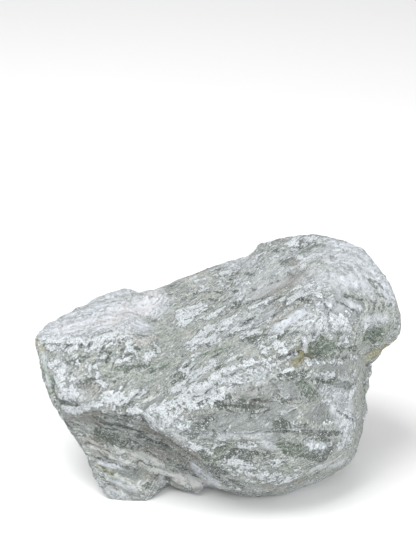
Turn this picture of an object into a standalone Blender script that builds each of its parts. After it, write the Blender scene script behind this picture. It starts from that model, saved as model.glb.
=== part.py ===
"""A raw block of soapstone, about 150 mm long, lying as it broke from the face.

The block is one piece of stone.  It starts as a handful of convex fracture
blocks that share one heart and are fused into one body.  The body is then
rounded a little, carved with the ledges, lenses, hollows and split layers
that the rock's grain gives it, thinned to few faces, and cut flat where it
rests.  X runs along the block, +Y is its back and +Z is up.  The origin is
under the middle of the block, on the surface that it rests on.
"""
import math

import bmesh
import bpy
import numpy as np

# ---------------------------------------------------------------- dimensions
MM = 0.001  # every size below is in millimetres

STONE = "soapstone_block"
VOXEL = 1.25  # cell size at which the fused blocks become one skin
SKIN_SMOOTHING = 4  # passes that round the broken edges by about a millimetre
STONE_TRIANGLES = 8600  # faces left on the finished stone
REST_CUT_DEPTH = 12.0  # how far the resting cut reaches under the block
CREASE_ANGLE = math.radians(38)

# Corners of the convex fracture blocks.
BODY = (
    # the front, from the left end up to the crest, and its foot
    (-63, -22, 32), (-48, -32, 43), (-31, -38, 45), (-7, -41, 59), (17, -33, 70),
    (-56, -22, 22), (-12, -22, 2),
    # the long upper edge at the back, rising to the right
    (-30, 24, 68), (-2, 33, 76), (13, 36, 79),
    # the right end
    (62, -2, 46), (63, 4, 37), (60, 4, 11), (57, 0, -1),
    # the back and the left end
    (-68, 20, 43), (-60, 26, 16), (-40, 39, 30), (-20, 45, 52), (8, 49, 26), (61, 32, 52), (59, 33, 30),
    # under the block
    (-35, 36, -1), (30, 41, -1), (51, 30, -1), (-51, 8, -1), (-45, -4, -1), (41, -8, -1),
)
SHOULDER = (
    # the left end and the lip over the hollow
    (-76, -4, 61), (-75, -8, 57), (-73, -14, 51), (-69, -20, 42), (-63, -24, 33), (-47, -35, 46), (-31, -40, 47),
    # the level top of the shoulder
    (-37, -12, 67), (-65, -8, 63), (-70, 8, 62), (-57, 19, 62), (-47, 26, 67), (-40, 27, 68), (-33, 22, 66),
    # its back, and the corners inside the body
    (-70, 12, 44), (-65, 14, 30), (-30, 28, 40), (10, 10, 30), (10, -10, 50),
)
HEAD = (
    # the domed top, left to right
    (13, 35, 80), (18, 34, 87), (26, 33, 89), (35, 30, 93), (48, 24, 94), (58, 18, 93), (65, 12, 88),
    # the nose at the right end
    (71, 6, 81), (74, 1, 75), (76, -3, 68), (75, -4, 63), (70, -5, 58), (63, -5, 51),
    # the brow along the front, right to left
    (54, -22, 68), (32, -38, 77), (20, -39, 74), (-7, -44, 62), (-31, -41, 47), (42, -22, 89), (57, -12, 82),
    # its back, and the corners inside the body
    (68, 24, 64), (61, 30, 38), (38, 41, 66), (20, 47, 50), (-20, 10, 40), (-20, -10, 40),
)
BELLY = (
    # the lower edge of the front, left to right
    (-30, -42, 48), (-19, -47, 41), (-7, -47, 29), (2, -44, 18), (9, -38, 9), (18, -33, 2), (28, -30, 1),
    (46, -22, 4), (56, -15, 7),
    # the bevel over that edge
    (9, -42, 14), (21, -46, 20), (33, -43, 23), (45, -36, 24), (56, -25, 25),
    # the crest, and the face between the crest and the bevel
    (-7, -45, 62), (12, -41, 72), (28, -38, 74), (40, -34, 72), (54, -22, 66), (3, -50, 46), (32, -47, 48),
    (56, -22, 52), (58, -18, 26),
    # the right end, and the corners inside the body
    (63, 3, 37), (61, 4, 11), (62, -3, 47), (60, -4, 8), (-20, 10, 40), (-10, 20, 10), (51, 10, -1),
    (-8, -20, -1), (40, -20, 70),
)
PLATE = (
    # a slab left standing on the back
    (-31, 38, 13), (-8, 43, 8), (28, 43, 10), (47, 38, 22), (41, 44, 41), (14, 50, 53), (-12, 49, 51),
    (-38, 42, 39),
    # the corners inside the body
    (-20, -14, 36), (20, -14, 36), (0, -14, 56),
)
FOOT = (
    # the foot under the left end
    (-62, -22, 33), (-48, -30, 4), (-45, -31, -1), (-39, -32, -1), (-29, -32, 0), (-25, -29, 3),
    (-54, -27, 25), (-40, -29, 25), (-28, -28, 18),
    # the corners inside the body
    (-42, 10, -1), (-60, 10, 28), (-55, 8, 10), (-5, 0, -1), (30, 10, 50), (-10, -5, 55),
)
WEB = (
    # the low arch between the foot and the belly
    (-40, -27, 23), (-8, -29, 2), (-11, -28, 1), (-22, -24, 3),
    # the corners inside the body
    (0, 0, -1), (-30, 0, -1), (30, 10, 50), (-20, 5, 55), (0, -20, 50),
)
BLOCKS = {
    "body": BODY,
    "shoulder": SHOULDER,
    "head": HEAD,
    "belly": BELLY,
    "plate": PLATE,
    "foot": FOOT,
    "web": WEB,
}

# Lenses: start, end, half width, depth of a smooth slip surface let into the stone.
LENSES = (
    ((5, -45, 60), (21, -44, 59), 3.2, 1.4),
    ((-5, -48, 47), (22, -48, 45), 5.0, 1.6),
    ((19, -46, 53), (46, -32, 45), 6.0, 1.4),
    ((18, -26, 77), (33, -22, 85), 3.0, 1.5),
    ((11, -18, 75), (23, -15, 81), 3.0, 1.3),
    ((31, -27, 83), (43, -20, 87), 2.6, 0.9),
    ((45, -22, 83), (56, -10, 83), 4.0, 1.0),
    ((-9, -47, 47), (-3, -48, 48), 2.6, 1.4),
    ((1, -48, 34), (9, -48, 36), 2.8, 1.6),
    ((23, -47, 34), (34, -44, 35), 3.4, 1.5),
    ((31, -43, 59), (39, -37, 58), 3.6, 1.2),
    ((-45, -30, 4), (-33, -31, 10), 3.0, 1.1),
    ((-41, -30, 12), (-28, -30, 9), 2.6, 1.3),
    ((15, 1, 80), (31, 0, 87), 4.6, 2.2),
    ((1, 6, 73), (13, 6, 80), 3.0, 1.0),
)
# The same on the back and at the ends.
FAR_LENSES = (
    ((-8, 43, 58), (24, 42, 62), 4.5, 1.4),
    ((-50, 32, 34), (-32, 43, 40), 4.0, 1.4),
    ((16, 46, 18), (40, 41, 24), 4.0, 1.4),
    ((-14, 43, 14), (6, 44, 12), 3.0, 1.2),
    ((20, 48, 44), (38, 44, 40), 3.0, 1.2),
    ((30, 36, 80), (50, 29, 76), 4.0, 1.4),
    ((62, 4, 30), (60, 20, 34), 4.0, 1.3),
    ((70, 12, 60), (61, 24, 72), 3.5, 1.3),
    ((-67, -4, 38), (-68, 12, 40), 4.0, 1.3),
    ((-59, 4, 18), (-61, 18, 20), 3.0, 1.2),
)
# Ledges: start, end, height, width of a broken layer's edge; the stone above it stands proud.
LEDGES = (
    ((-2, -46, 56), (21, -46, 53), 1.8, 5.0),
    ((21, -48, 44), (48, -32, 33), 1.8, 5.0),
    ((-7, -48, 40), (17, -48, 40), 1.4, 4.0),
    ((36, -37, 66), (53, -23, 57), 1.5, 2.5),
    ((35, -39, 63), (54, -23, 51), 1.5, 3.0),
    ((5, -46, 58), (22, -44, 57), 1.2, 3.0),
    ((-13, -45, 56), (17, -37, 73), 1.6, 5.0),
    ((-9, -45, 58), (10, -42, 70), 1.5, 3.5),
    ((-2, -15, 69), (30, -6, 86), 1.8, 4.5),
    ((8, -18, 73), (29, -13, 84), 1.5, 3.5),
    ((17, -28, 76), (43, -18, 88), 1.6, 3.5),
    ((-20, 14, 69), (-2, 21, 74), 1.3, 4.0),
    ((31, -5, 86), (47, 12, 92), 1.6, 3.5),
    ((5, -1, 74), (17, 0, 81), 1.2, 3.0),
    ((-66, -21, 42), (-52, -31, 46), 1.1, 3.5),
    ((32, -16, 85), (39, -22, 87), 1.4, 2.5),
    ((39, -22, 87), (55, -16, 78), 0.8, 2.5),
    ((-54, -26, 24), (-13, -26, 5), 1.8, 3.5),
    ((-52, -27, 16), (-28, -30, 7), 1.4, 3.0),
    ((-48, -29, 9), (-32, -32, 3), 1.3, 3.0),
    ((32, -41, 22), (53, -26, 25), 1.5, 4.0),
    ((9, -39, 11), (32, -41, 22), 1.5, 4.0),
)
# The same on the back and at the ends.
FAR_LEDGES = (
    ((-58, 24, 46), (-26, 35, 58), 1.8, 4.5),
    ((12, 38, 70), (52, 33, 60), 1.7, 4.5),
    ((-30, 41, 22), (26, 45, 28), 1.6, 4.5),
    ((-4, 48, 40), (36, 44, 36), 1.4, 4.0),
    ((-52, 31, 24), (-30, 40, 14), 1.6, 4.0),
    ((44, 38, 48), (57, 33, 26), 1.5, 4.0),
    ((-22, 36, 60), (12, 37, 74), 1.6, 4.5),
    ((59, -8, 40), (65, 20, 46), 1.6, 4.0),
    ((61, 0, 20), (59, 24, 24), 1.5, 4.0),
    ((71, 10, 70), (65, 26, 56), 1.5, 4.0),
    ((-70, -12, 46), (-62, 16, 52), 1.6, 4.0),
    ((-62, -10, 28), (-64, 18, 30), 1.5, 4.0),
)
# Hollows: centre, radius, depth; a depth below 0 fills the surface out.
HOLLOWS = (
    ((62, -14, 67), 6.5, 4.0),
    ((65, -7, 56), 5.0, 2.0),
    ((38, -32, 73), 8.0, 2.6),
    ((31, -38, 72), 6.0, 1.8),
    ((-48, -28, 33), 16.0, 1.8),
    ((-32, -30, 28), 14.0, 1.5),
    ((13, -29, 74), 2.4, 0.5),
    ((-21, -26, 8), 3.0, 2.0),
    ((7, -2, 75), 2.6, 0.5),
    ((18, 29, 86), 5.0, 1.2),
    ((33, 21, 91), 5.0, 1.0),
    ((-34, 23, 66), 7.0, -1.6),
    ((64, -1, 51), 5.0, -1.2),
)


def unit(direction):
    """The direction with a length of 1."""
    return np.array(direction) / np.linalg.norm(direction)


# The grain: the split layers lie across LAYER_NORMAL and are drawn out along DRAWN_OUT.
LAYER_NORMAL = unit((0.06, -0.79, 0.61))
DRAWN_OUT = unit((0.86, 0.40, 0.43))
ACROSS = np.cross(LAYER_NORMAL, DRAWN_OUT)
UPHILL = np.array((0.0, 0.6, 0.8))  # from a ledge towards the stone above it
# The foot is a lower bed, whose layers dip to the right.
FOOT_DRAWN_OUT = unit((0.90, -0.05, -0.43))
FOOT_NORMAL = unit(np.cross(FOOT_DRAWN_OUT, np.cross((0.2, -0.6, 0.77), FOOT_DRAWN_OUT)))
FOOT_ACROSS = np.cross(FOOT_NORMAL, FOOT_DRAWN_OUT)
FOOT_TOP = np.array((-31.0, -28.0, 20.0))  # a point on the plane where the lower bed begins
FOOT_TOP_NORMAL = unit((0.42, -0.1, 0.9))
LAYER_STEP = 3.4  # thickness of a split layer
LAYER_RELIEF = 0.9  # how far a broken layer stands proud
LAYER_WAVE = 3.0  # how far the layers wander
LUMP_SIZE = 24.0  # length of the low lumps
LUMP_RELIEF = 1.1
CHIP_SIZE = 6.0  # length of the small chips
CHIP_RELIEF = 0.45
REST_FADE = 4.0  # the relief dies away over this height above the resting face


# --------------------------------------------------------------------- noise
def smooth_step(low, high, value):
    """0 below low, 1 above high, and a smooth rise between them."""
    t = np.clip((value - low) / (high - low), 0.0, 1.0)
    return t * t * (3.0 - 2.0 * t)


def lattice_value(cell, seed):
    """A fixed scrambled number from 0 to 1 for each whole-number cell."""
    cell = cell.astype(np.int64)
    mixed = cell[..., 0] * 374761393 + cell[..., 1] * 668265263 + cell[..., 2] * 2147483647
    mixed = (mixed + seed * 144665) & 0xFFFFFFFF
    for shift, factor in ((13, 1274126177), (16, 2246822519)):
        mixed = ((mixed ^ (mixed >> shift)) * factor) & 0xFFFFFFFF
    return ((mixed ^ (mixed >> 15)) & 0xFFFFFF) / float(0xFFFFFF)


def noise(points, seed):
    """Smooth noise from -1 to 1 that changes over a distance of 1."""
    cell = np.floor(points)
    part = points - cell
    ease = part ** 3 * (part * (part * 6.0 - 15.0) + 10.0)
    total = np.zeros(points.shape[:-1])
    for corner in np.ndindex(2, 2, 2):
        corner = np.array(corner)
        weight = np.where(corner == 1, ease, 1.0 - ease).prod(axis=-1)
        total += weight * lattice_value(cell + corner, seed)
    return total * 2.0 - 1.0


def cloud(points, size, octaves, seed):
    """Noise of the given size with ever smaller, weaker copies added to it."""
    total = np.zeros(points.shape[:-1])
    weight = 1.0
    weight_sum = 0.0
    for octave in range(octaves):
        total += weight * noise(points * 2.0 ** octave / size + 17.3 * octave, seed + octave)
        weight_sum += weight
        weight *= 0.5
    return total / weight_sum


# -------------------------------------------------------------------- relief
def above_foot(points):
    """Height of each point above the plane where the lower bed begins."""
    return (points - FOOT_TOP) @ FOOT_TOP_NORMAL


def along_grain(points, length, width, thickness):
    """Positions measured along, across and through the grain, each over its own length."""
    in_foot = above_foot(points) < 0.0
    return np.stack(
        (
            np.where(in_foot, points @ FOOT_DRAWN_OUT, points @ DRAWN_OUT) / length,
            np.where(in_foot, points @ FOOT_ACROSS, points @ ACROSS) / width,
            np.where(in_foot, points @ FOOT_NORMAL, points @ LAYER_NORMAL) / thickness,
        ),
        axis=-1,
    )


def line_place(points, start, end):
    """How far each point lies along a line (0 to 1), and its offset from the line."""
    start = np.array(start, dtype=float)
    axis = np.array(end, dtype=float) - start
    share = (points - start) @ axis / (axis @ axis)
    offset = points - start - np.clip(share, 0.0, 1.0)[:, None] * axis
    upward = UPHILL - axis * (UPHILL @ axis) / (axis @ axis)
    upward /= np.linalg.norm(upward)
    return share, np.linalg.norm(offset, axis=1), offset @ upward


def lens_relief(points, ragged, start, end, half_width, depth):
    """A shallow long pan, deepest under its upper rim and open at its lower side."""
    share, distance, height = line_place(points, start, end)
    edge = distance / half_width + 0.5 * ragged
    upper_side = 0.35 + 0.65 * smooth_step(-1.0, 1.0, height / half_width)
    return -0.7 * depth * upper_side * smooth_step(1.25, 0.85, edge)


def ledge_relief(points, ragged, start, end, height, width):
    """The edge of a broken layer: a lip above a ragged line and a drop under it."""
    share, distance, above = line_place(points, start, end)
    ends = smooth_step(-0.05, 0.2, share) * smooth_step(1.05, 0.8, share)
    lip = smooth_step(-0.8, 0.8, above + 1.1 * ragged) - 0.45
    return height * lip * ends * smooth_step(2.2 * width, 0.2 * width, distance)


def hollow_relief(points, ragged, centre, radius, depth):
    """A round hollow with a soft uneven rim."""
    distance = np.linalg.norm(points - np.array(centre, dtype=float), axis=1)
    return -depth * smooth_step(1.0, 0.35, distance / radius + 0.2 * ragged)


def layer_relief(points):
    """Split layers: the surface rises slowly over a layer and drops at its broken edge."""
    wander = LAYER_WAVE * cloud(along_grain(points, 26.0, 11.0, 18.0), 1.0, 3, 11)
    through = np.where(above_foot(points) < 0.0, points @ FOOT_NORMAL, points @ LAYER_NORMAL)
    layer = (through + wander) / LAYER_STEP
    rise = layer - np.floor(layer)
    strength = smooth_step(-0.5, 0.35, cloud(points, 30.0, 2, 23))
    return LAYER_RELIEF * strength * (rise - smooth_step(0.82, 1.0, rise) - 0.4)


def stone_relief(points):
    """How far the stone stands out from the fused blocks at each point."""
    ragged = cloud(points, 5.0, 3, 5)
    relief = LUMP_RELIEF * cloud(points, LUMP_SIZE, 3, 37)
    relief += CHIP_RELIEF * cloud(points, CHIP_SIZE, 2, 41)
    relief += layer_relief(points)
    for lens in LENSES + FAR_LENSES:
        relief += lens_relief(points, ragged, *lens)
    for ledge in LEDGES + FAR_LEDGES:
        relief += ledge_relief(points, ragged, *ledge)
    for hollow in HOLLOWS:
        relief += hollow_relief(points, ragged, *hollow)
    return relief * smooth_step(0.0, REST_FADE, points[:, 2])


# --------------------------------------------------------------------- solid
def clear_scene():
    """Remove what the scene holds."""
    for old in list(bpy.data.objects):
        bpy.data.objects.remove(old, do_unlink=True)


def new_collection(name):
    """A collection linked to the scene."""
    collection = bpy.data.collections.new(name)
    bpy.context.scene.collection.children.link(collection)
    return collection


def new_object(name, mesh, collection):
    """An object for the mesh in the collection."""
    made = bpy.data.objects.new(name, mesh)
    collection.objects.link(made)
    return made


def convex_block(name, corners, collection):
    """The convex hull of the corners, as a closed mesh object."""
    hull = bmesh.new()
    for corner in corners:
        hull.verts.new([value * MM for value in corner])
    made = bmesh.ops.convex_hull(hull, input=hull.verts)
    inner = [item for item in made["geom_interior"] if isinstance(item, bmesh.types.BMVert)]
    bmesh.ops.delete(hull, geom=inner, context="VERTS")
    bmesh.ops.recalc_face_normals(hull, faces=hull.faces)
    mesh = bpy.data.meshes.new(name)
    hull.to_mesh(mesh)
    hull.free()
    return new_object(name, mesh, collection)


def add_boolean(target, tool, operation):
    """Join the tool to the target, or cut the target with it."""
    modifier = target.modifiers.new(f"{operation.lower()} {tool.name}", "BOOLEAN")
    modifier.operation = operation
    modifier.solver = "EXACT"
    modifier.object = tool


def hide_tool(tool):
    """Show a cutter or a guide as wire, and leave it out of renders."""
    tool.hide_render = True
    tool.display_type = "WIRE"


def evaluated_mesh(source):
    """The mesh that an object's modifiers give, as a mesh of its own."""
    seen = source.evaluated_get(bpy.context.evaluated_depsgraph_get())
    return bpy.data.meshes.new_from_object(seen)


def fused_skin(collection):
    """The fracture blocks fused into one body with an even skin and rounded edges."""
    blocks = [convex_block(name, corners, collection) for name, corners in BLOCKS.items()]
    body = blocks[0]
    for block in blocks[1:]:
        add_boolean(body, block, "UNION")
    remesh = body.modifiers.new("even skin", "REMESH")
    remesh.mode = "VOXEL"
    remesh.voxel_size = VOXEL * MM
    rounding = body.modifiers.new("worn edges", "SMOOTH")
    rounding.iterations = SKIN_SMOOTHING
    skin = evaluated_mesh(body)
    for block in blocks:
        bpy.data.objects.remove(block, do_unlink=True)
    return skin


def carve(skin):
    """Move each point of the skin along its normal by the stone's relief."""
    count = len(skin.vertices)
    points = np.empty(count * 3)
    normals = np.empty(count * 3)
    skin.vertices.foreach_get("co", points)
    skin.vertices.foreach_get("normal", normals)
    points = points.reshape(-1, 3) / MM
    carved = points + normals.reshape(-1, 3) * stone_relief(points)[:, None]
    skin.vertices.foreach_set("co", (carved * MM).ravel())
    skin.update()


def resting_cutter(collection):
    """A box under the block whose top face is the surface that the block rests on."""
    bpy.ops.mesh.primitive_cube_add(size=1.0)
    cutter = bpy.context.active_object
    cutter.name = "resting cutter"
    size = np.array((200.0, 140.0, REST_CUT_DEPTH)) * MM
    for vertex in cutter.data.vertices:
        vertex.co = [vertex.co[axis] * size[axis] for axis in range(3)]
    cutter.location.z = -size[2] / 2
    for owner in list(cutter.users_collection):
        owner.objects.unlink(cutter)
    collection.objects.link(cutter)
    hide_tool(cutter)
    return cutter


def soapstone():
    """Pale grey-green stone with a dull, slightly greasy face."""
    material = bpy.data.materials.new("soapstone")
    material.use_nodes = True
    shader = material.node_tree.nodes["Principled BSDF"]
    shader.inputs["Base Color"].default_value = (0.47, 0.50, 0.47, 1.0)
    shader.inputs["Roughness"].default_value = 0.78
    shader.inputs["Metallic"].default_value = 0.0
    return material


def main():
    clear_scene()
    model = new_collection("raw soapstone block")
    cutters = new_collection("cutters")

    skin = fused_skin(cutters)
    carve(skin)
    skin.name = STONE
    skin.materials.clear()
    skin.materials.append(soapstone())
    stone = new_object(STONE, skin, model)

    skin.calc_loop_triangles()
    thin = stone.modifiers.new("few faces", "DECIMATE")
    thin.ratio = STONE_TRIANGLES / len(skin.loop_triangles)
    add_boolean(stone, resting_cutter(cutters), "DIFFERENCE")
    stone.modifiers.new("triangles", "TRIANGULATE")
    skin.shade_smooth()
    skin.set_sharp_from_angle(angle=CREASE_ANGLE)


main()
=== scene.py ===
# %% [markdown]
# # A raw block of soapstone
#
# The real object is one lump of soft grey-green rock, broken from the face.
# It is mostly talc and chlorite, laid down in thin layers that split, smear
# and bruise white where they are struck.  This script gives the plain solid
# of the block its real surface: broken layers, smooth slip lenses, crushed
# white talc, dark green chlorite, and the soft light of a product table.

# %% Load the frame
import math
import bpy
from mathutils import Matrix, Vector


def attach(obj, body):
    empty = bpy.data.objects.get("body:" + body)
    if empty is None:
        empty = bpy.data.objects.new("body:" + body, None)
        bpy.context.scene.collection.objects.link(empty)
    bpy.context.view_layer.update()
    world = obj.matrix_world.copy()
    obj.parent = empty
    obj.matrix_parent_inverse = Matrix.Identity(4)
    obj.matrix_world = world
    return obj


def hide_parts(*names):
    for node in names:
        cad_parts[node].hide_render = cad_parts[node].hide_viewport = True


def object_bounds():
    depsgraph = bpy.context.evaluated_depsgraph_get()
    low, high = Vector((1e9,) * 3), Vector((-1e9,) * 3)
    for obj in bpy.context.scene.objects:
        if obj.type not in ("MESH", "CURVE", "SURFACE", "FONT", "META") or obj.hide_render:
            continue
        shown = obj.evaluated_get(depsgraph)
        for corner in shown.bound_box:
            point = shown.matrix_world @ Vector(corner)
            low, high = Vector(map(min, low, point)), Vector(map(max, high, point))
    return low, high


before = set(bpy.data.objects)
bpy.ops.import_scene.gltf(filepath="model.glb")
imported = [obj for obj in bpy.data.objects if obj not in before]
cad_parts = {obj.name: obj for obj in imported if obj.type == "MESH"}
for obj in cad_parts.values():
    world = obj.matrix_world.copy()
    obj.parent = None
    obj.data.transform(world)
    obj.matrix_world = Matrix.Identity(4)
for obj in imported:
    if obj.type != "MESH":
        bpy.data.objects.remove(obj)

from types import SimpleNamespace

import bmesh
import bpy
import numpy as np
from mathutils import Vector

MM = 0.001  # sizes are in millimetres and the mesh is in metres
CAD_BOX = [list(corner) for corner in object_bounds()]
print("solid, mm:", [[round(value / MM, 1) for value in corner] for corner in CAD_BOX])

# %% [markdown]
# ## The fracture blocks
#
# A lump like this is bounded by the planes that it broke along.  Each list
# below holds the corners of one convex block, and all the blocks share one
# heart, so that together they make the lump.  A sculpted ball would look
# melted: planes that meet at edges are what makes it read as broken rock.

# %% Corners of the blocks
HEART = np.array((-2.0, -2.0, 42.0))
BODY = (
    # the front, from the left end up to the crest, and its foot
    (-63, -22, 32), (-48, -32, 43), (-31, -38, 45), (-7, -41, 59), (17, -33, 70),
    (-56, -22, 22), (-12, -22, 2),
    # the long upper edge at the back, rising to the right
    (-30, 24, 68), (-2, 33, 76), (13, 36, 79),
    # the right end
    (62, -2, 46), (63, 4, 37), (60, 4, 11), (57, 0, -1),
    # the back and the left end
    (-68, 20, 43), (-60, 26, 16), (-40, 39, 30), (-20, 45, 52), (8, 49, 26), (61, 32, 52), (59, 33, 30),
    # under the block
    (-35, 36, -1), (30, 41, -1), (51, 30, -1), (-51, 8, -1), (-45, -4, -1), (41, -8, -1),
)
SHOULDER = (
    # the left end and the lip over the hollow
    (-76, -4, 61), (-75, -8, 57), (-73, -14, 51), (-69, -20, 42), (-63, -24, 33), (-47, -35, 46),
    (-31, -40, 47),
    # the level top of the shoulder
    (-37, -12, 67), (-65, -8, 63), (-70, 8, 62), (-57, 19, 62), (-47, 26, 67), (-40, 27, 68),
    (-33, 22, 66),
    # its back, and the corners inside the body
    (-70, 12, 44), (-65, 14, 30), (-30, 28, 40), (10, 10, 30), (10, -10, 50),
)
HEAD = (
    # the domed top, left to right
    (13, 35, 80), (18, 34, 87), (26, 33, 89), (35, 30, 93), (48, 24, 94), (58, 18, 93), (65, 12, 88),
    # the nose at the right end
    (71, 6, 81), (74, 1, 75), (76, -3, 68), (75, -4, 63), (70, -5, 58), (63, -5, 51),
    # the brow along the front, right to left
    (54, -22, 68), (32, -38, 77), (20, -39, 74), (-7, -44, 62), (-31, -41, 47), (42, -22, 89), (57, -12, 82),
    # its back, and the corners inside the body
    (68, 24, 64), (61, 30, 38), (38, 41, 66), (20, 47, 50), (-20, 10, 40), (-20, -10, 40),
)
BELLY = (
    # the lower edge of the front, left to right
    (-30, -42, 48), (-19, -47, 41), (-7, -47, 29), (2, -44, 18), (9, -38, 9), (18, -33, 2), (28, -30, 1),
    (46, -22, 4), (56, -15, 7),
    # the bevel over that edge
    (9, -42, 14), (21, -46, 20), (33, -43, 23), (45, -36, 24), (56, -25, 25),
    # the crest, and the face between the crest and the bevel
    (-7, -45, 62), (12, -41, 72), (28, -38, 74), (40, -34, 72), (54, -22, 66), (3, -50, 46), (32, -47, 48),
    (56, -22, 52), (58, -18, 26),
    # the right end, and the corners inside the body
    (63, 3, 37), (61, 4, 11), (62, -3, 47), (60, -4, 8), (-20, 10, 40), (-10, 20, 10), (51, 10, -1),
    (-8, -20, -1), (40, -20, 70),
)
PLATE = (
    # a slab left standing on the back
    (-31, 38, 13), (-8, 43, 8), (28, 43, 10), (47, 38, 22), (41, 44, 41), (14, 50, 53), (-12, 49, 51),
    (-38, 42, 39),
    # the corners inside the body
    (-20, -14, 36), (20, -14, 36), (0, -14, 56),
)
FOOT = (
    # the foot under the left end
    (-62, -22, 33), (-48, -30, 4), (-45, -31, -1), (-39, -32, -1), (-29, -32, 0), (-25, -29, 3),
    (-54, -27, 25), (-40, -29, 25), (-28, -28, 18),
    # the corners inside the body
    (-42, 10, -1), (-60, 10, 28), (-55, 8, 10), (-5, 0, -1), (30, 10, 50), (-10, -5, 55),
)
WEB = (
    # the low arch between the foot and the belly
    (-40, -27, 23), (-8, -29, 2), (-11, -28, 1), (-22, -24, 3),
    # the corners inside the body
    (0, 0, -1), (-30, 0, -1), (30, 10, 50), (-20, 5, 55), (0, -20, 50),
)
# Each block, and how sharply its edges are broken: a higher number is a sharper edge.
BLOCKS = (
    (BODY, 120), (SHOULDER, 120), (HEAD, 90), (BELLY, 80), (PLATE, 110), (FOOT, 120), (WEB, 120),
)
SEAM_SHARPNESS = 45  # how tightly the creases between two blocks are filled
GRID = 128  # squares along each side of the six grids


def block_planes(corners):
    """Outward normals of a convex block's faces, and their distances from the heart."""
    hull = bmesh.new()
    for corner in corners:
        hull.verts.new(corner)
    bmesh.ops.convex_hull(hull, input=hull.verts)
    hull.normal_update()
    normals = np.array([face.normal[:] for face in hull.faces])
    on_face = np.array([face.verts[0].co[:] for face in hull.faces])
    hull.free()
    distances = ((on_face - HEART) * normals).sum(axis=1)
    outward = np.sign(distances)[:, None]
    return normals * outward, np.abs(distances)


PLANES = [(*block_planes(corners), sharpness) for corners, sharpness in BLOCKS]
print("planes in each block:", [len(normals) for normals, _, _ in PLANES])

# %% [markdown]
# ## One skin over all the blocks
#
# Every point of the skin can be seen from the heart, so the skin is a
# distance for each direction.  Six square grids, as on the faces of a cube
# around the heart, give even directions with no poles.  Along a direction the
# nearest plane ends a block, and the furthest block ends the lump.  A soft
# minimum and a soft maximum do both at once and round the edges a little,
# which a Boolean followed by a Bevel would do with far more trouble.


# %% The skin of the fused blocks
def cube_directions(squares):
    """Unit directions through the points of six grids on a cube, and the grids' squares.

    A grid point at a and b, from -45 to 45 degrees, lies at tan(a), tan(b) on its
    side of the cube.  Points that two grids share are given one number.
    """
    steps = np.arange(squares + 1)
    a, b = np.meshgrid(steps, steps, indexing="ij")
    sides = []
    for axis in range(3):
        for end in (0, squares):
            side = np.empty((squares + 1, squares + 1, 3), dtype=int)
            side[..., axis] = end
            side[..., (axis + 1) % 3] = a if end else b
            side[..., (axis + 2) % 3] = b if end else a
            sides.append(side.reshape(-1, 3))
    size = squares + 1
    code = np.concatenate(sides) @ np.array((1, size, size * size))
    shared, number = np.unique(code, return_inverse=True)
    lattice = np.stack((shared % size, shared // size % size, shared // size ** 2), axis=1)
    number = number.reshape(6, size, size)
    faces = np.stack(
        (number[:, :-1, :-1], number[:, 1:, :-1], number[:, 1:, 1:], number[:, :-1, 1:]), axis=-1
    ).reshape(-1, 4)
    cube = np.tan((lattice / squares - 0.5) * math.pi / 2)
    return cube / np.linalg.norm(cube, axis=1, keepdims=True), faces


def block_reach(directions, normals, distances, sharpness):
    """From the heart to a block's skin: the soft minimum of distance / cosine over its planes."""
    cosine = np.maximum(directions @ normals.T, 1e-3)
    reach = distances / cosine
    nearest = reach.min(axis=1, keepdims=True)
    return nearest[:, 0] * ((nearest / reach) ** sharpness).sum(axis=1) ** (-1.0 / sharpness)


def lump_skin(directions):
    """Points of the lump's skin: the soft maximum over the blocks, cut off level under the lump."""
    reaches = np.array([block_reach(directions, *block) for block in PLANES])
    furthest = reaches.max(axis=0)
    reach = furthest * ((reaches / furthest) ** SEAM_SHARPNESS).sum(axis=0) ** (1.0 / SEAM_SHARPNESS)
    floor_reach = HEART[2] / np.maximum(-directions[:, 2], 1e-3)
    return HEART + directions * np.minimum(reach, floor_reach)[:, None]


def point_normals(points, faces):
    """Unit normals: at each point the sum of the cross products of the diagonals of its squares."""
    corner = points[faces]
    cross = np.cross(corner[:, 2] - corner[:, 0], corner[:, 3] - corner[:, 1])
    total = np.stack(
        [np.bincount(faces.ravel(), np.repeat(cross[:, axis], 4), len(points)) for axis in range(3)], axis=1
    )
    return total / np.linalg.norm(total, axis=1, keepdims=True)


DIRECTIONS, FACES = cube_directions(GRID)
SKIN = lump_skin(DIRECTIONS)
SKIN_NORMALS = point_normals(SKIN, FACES)
print("skin:", len(SKIN), "points,", 2 * len(FACES), "triangles, mm:", np.ptp(SKIN, axis=0).round(1))

# %% [markdown]
# ## Noise that stays in the stone
#
# All that is irregular in the stone comes from one kind of noise: a scrambled
# value at each whole-number cell, blended smoothly between cells.  It is
# worked out from the position alone, so it is the same on every run.  Copies
# at half the size and half the weight add the finer detail.


# %% Noise
def smooth_step(low, high, value):
    """0 below low, 1 above high, and 3t^2 - 2t^3 between them."""
    t = np.clip((value - low) / (high - low), 0.0, 1.0)
    return t * t * (3.0 - 2.0 * t)


def lattice_value(cell, seed):
    """A fixed scrambled number from 0 to 1 for each whole-number cell."""
    cell = cell.astype(np.int64)
    mixed = cell[..., 0] * 374761393 + cell[..., 1] * 668265263 + cell[..., 2] * 2147483647
    mixed = (mixed + seed * 144665) & 0xFFFFFFFF
    for shift, factor in ((13, 1274126177), (16, 2246822519)):
        mixed = ((mixed ^ (mixed >> shift)) * factor) & 0xFFFFFFFF
    return ((mixed ^ (mixed >> 15)) & 0xFFFFFF) / float(0xFFFFFF)


def noise(points, seed):
    """Smooth noise from -1 to 1 that changes over a distance of 1."""
    cell = np.floor(points)
    part = points - cell
    ease = part ** 3 * (part * (part * 6.0 - 15.0) + 10.0)
    total = np.zeros(points.shape[:-1])
    for corner in np.ndindex(2, 2, 2):
        corner = np.array(corner)
        weight = np.where(corner == 1, ease, 1.0 - ease).prod(axis=-1)
        total += weight * lattice_value(cell + corner, seed)
    return total * 2.0 - 1.0


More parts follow.
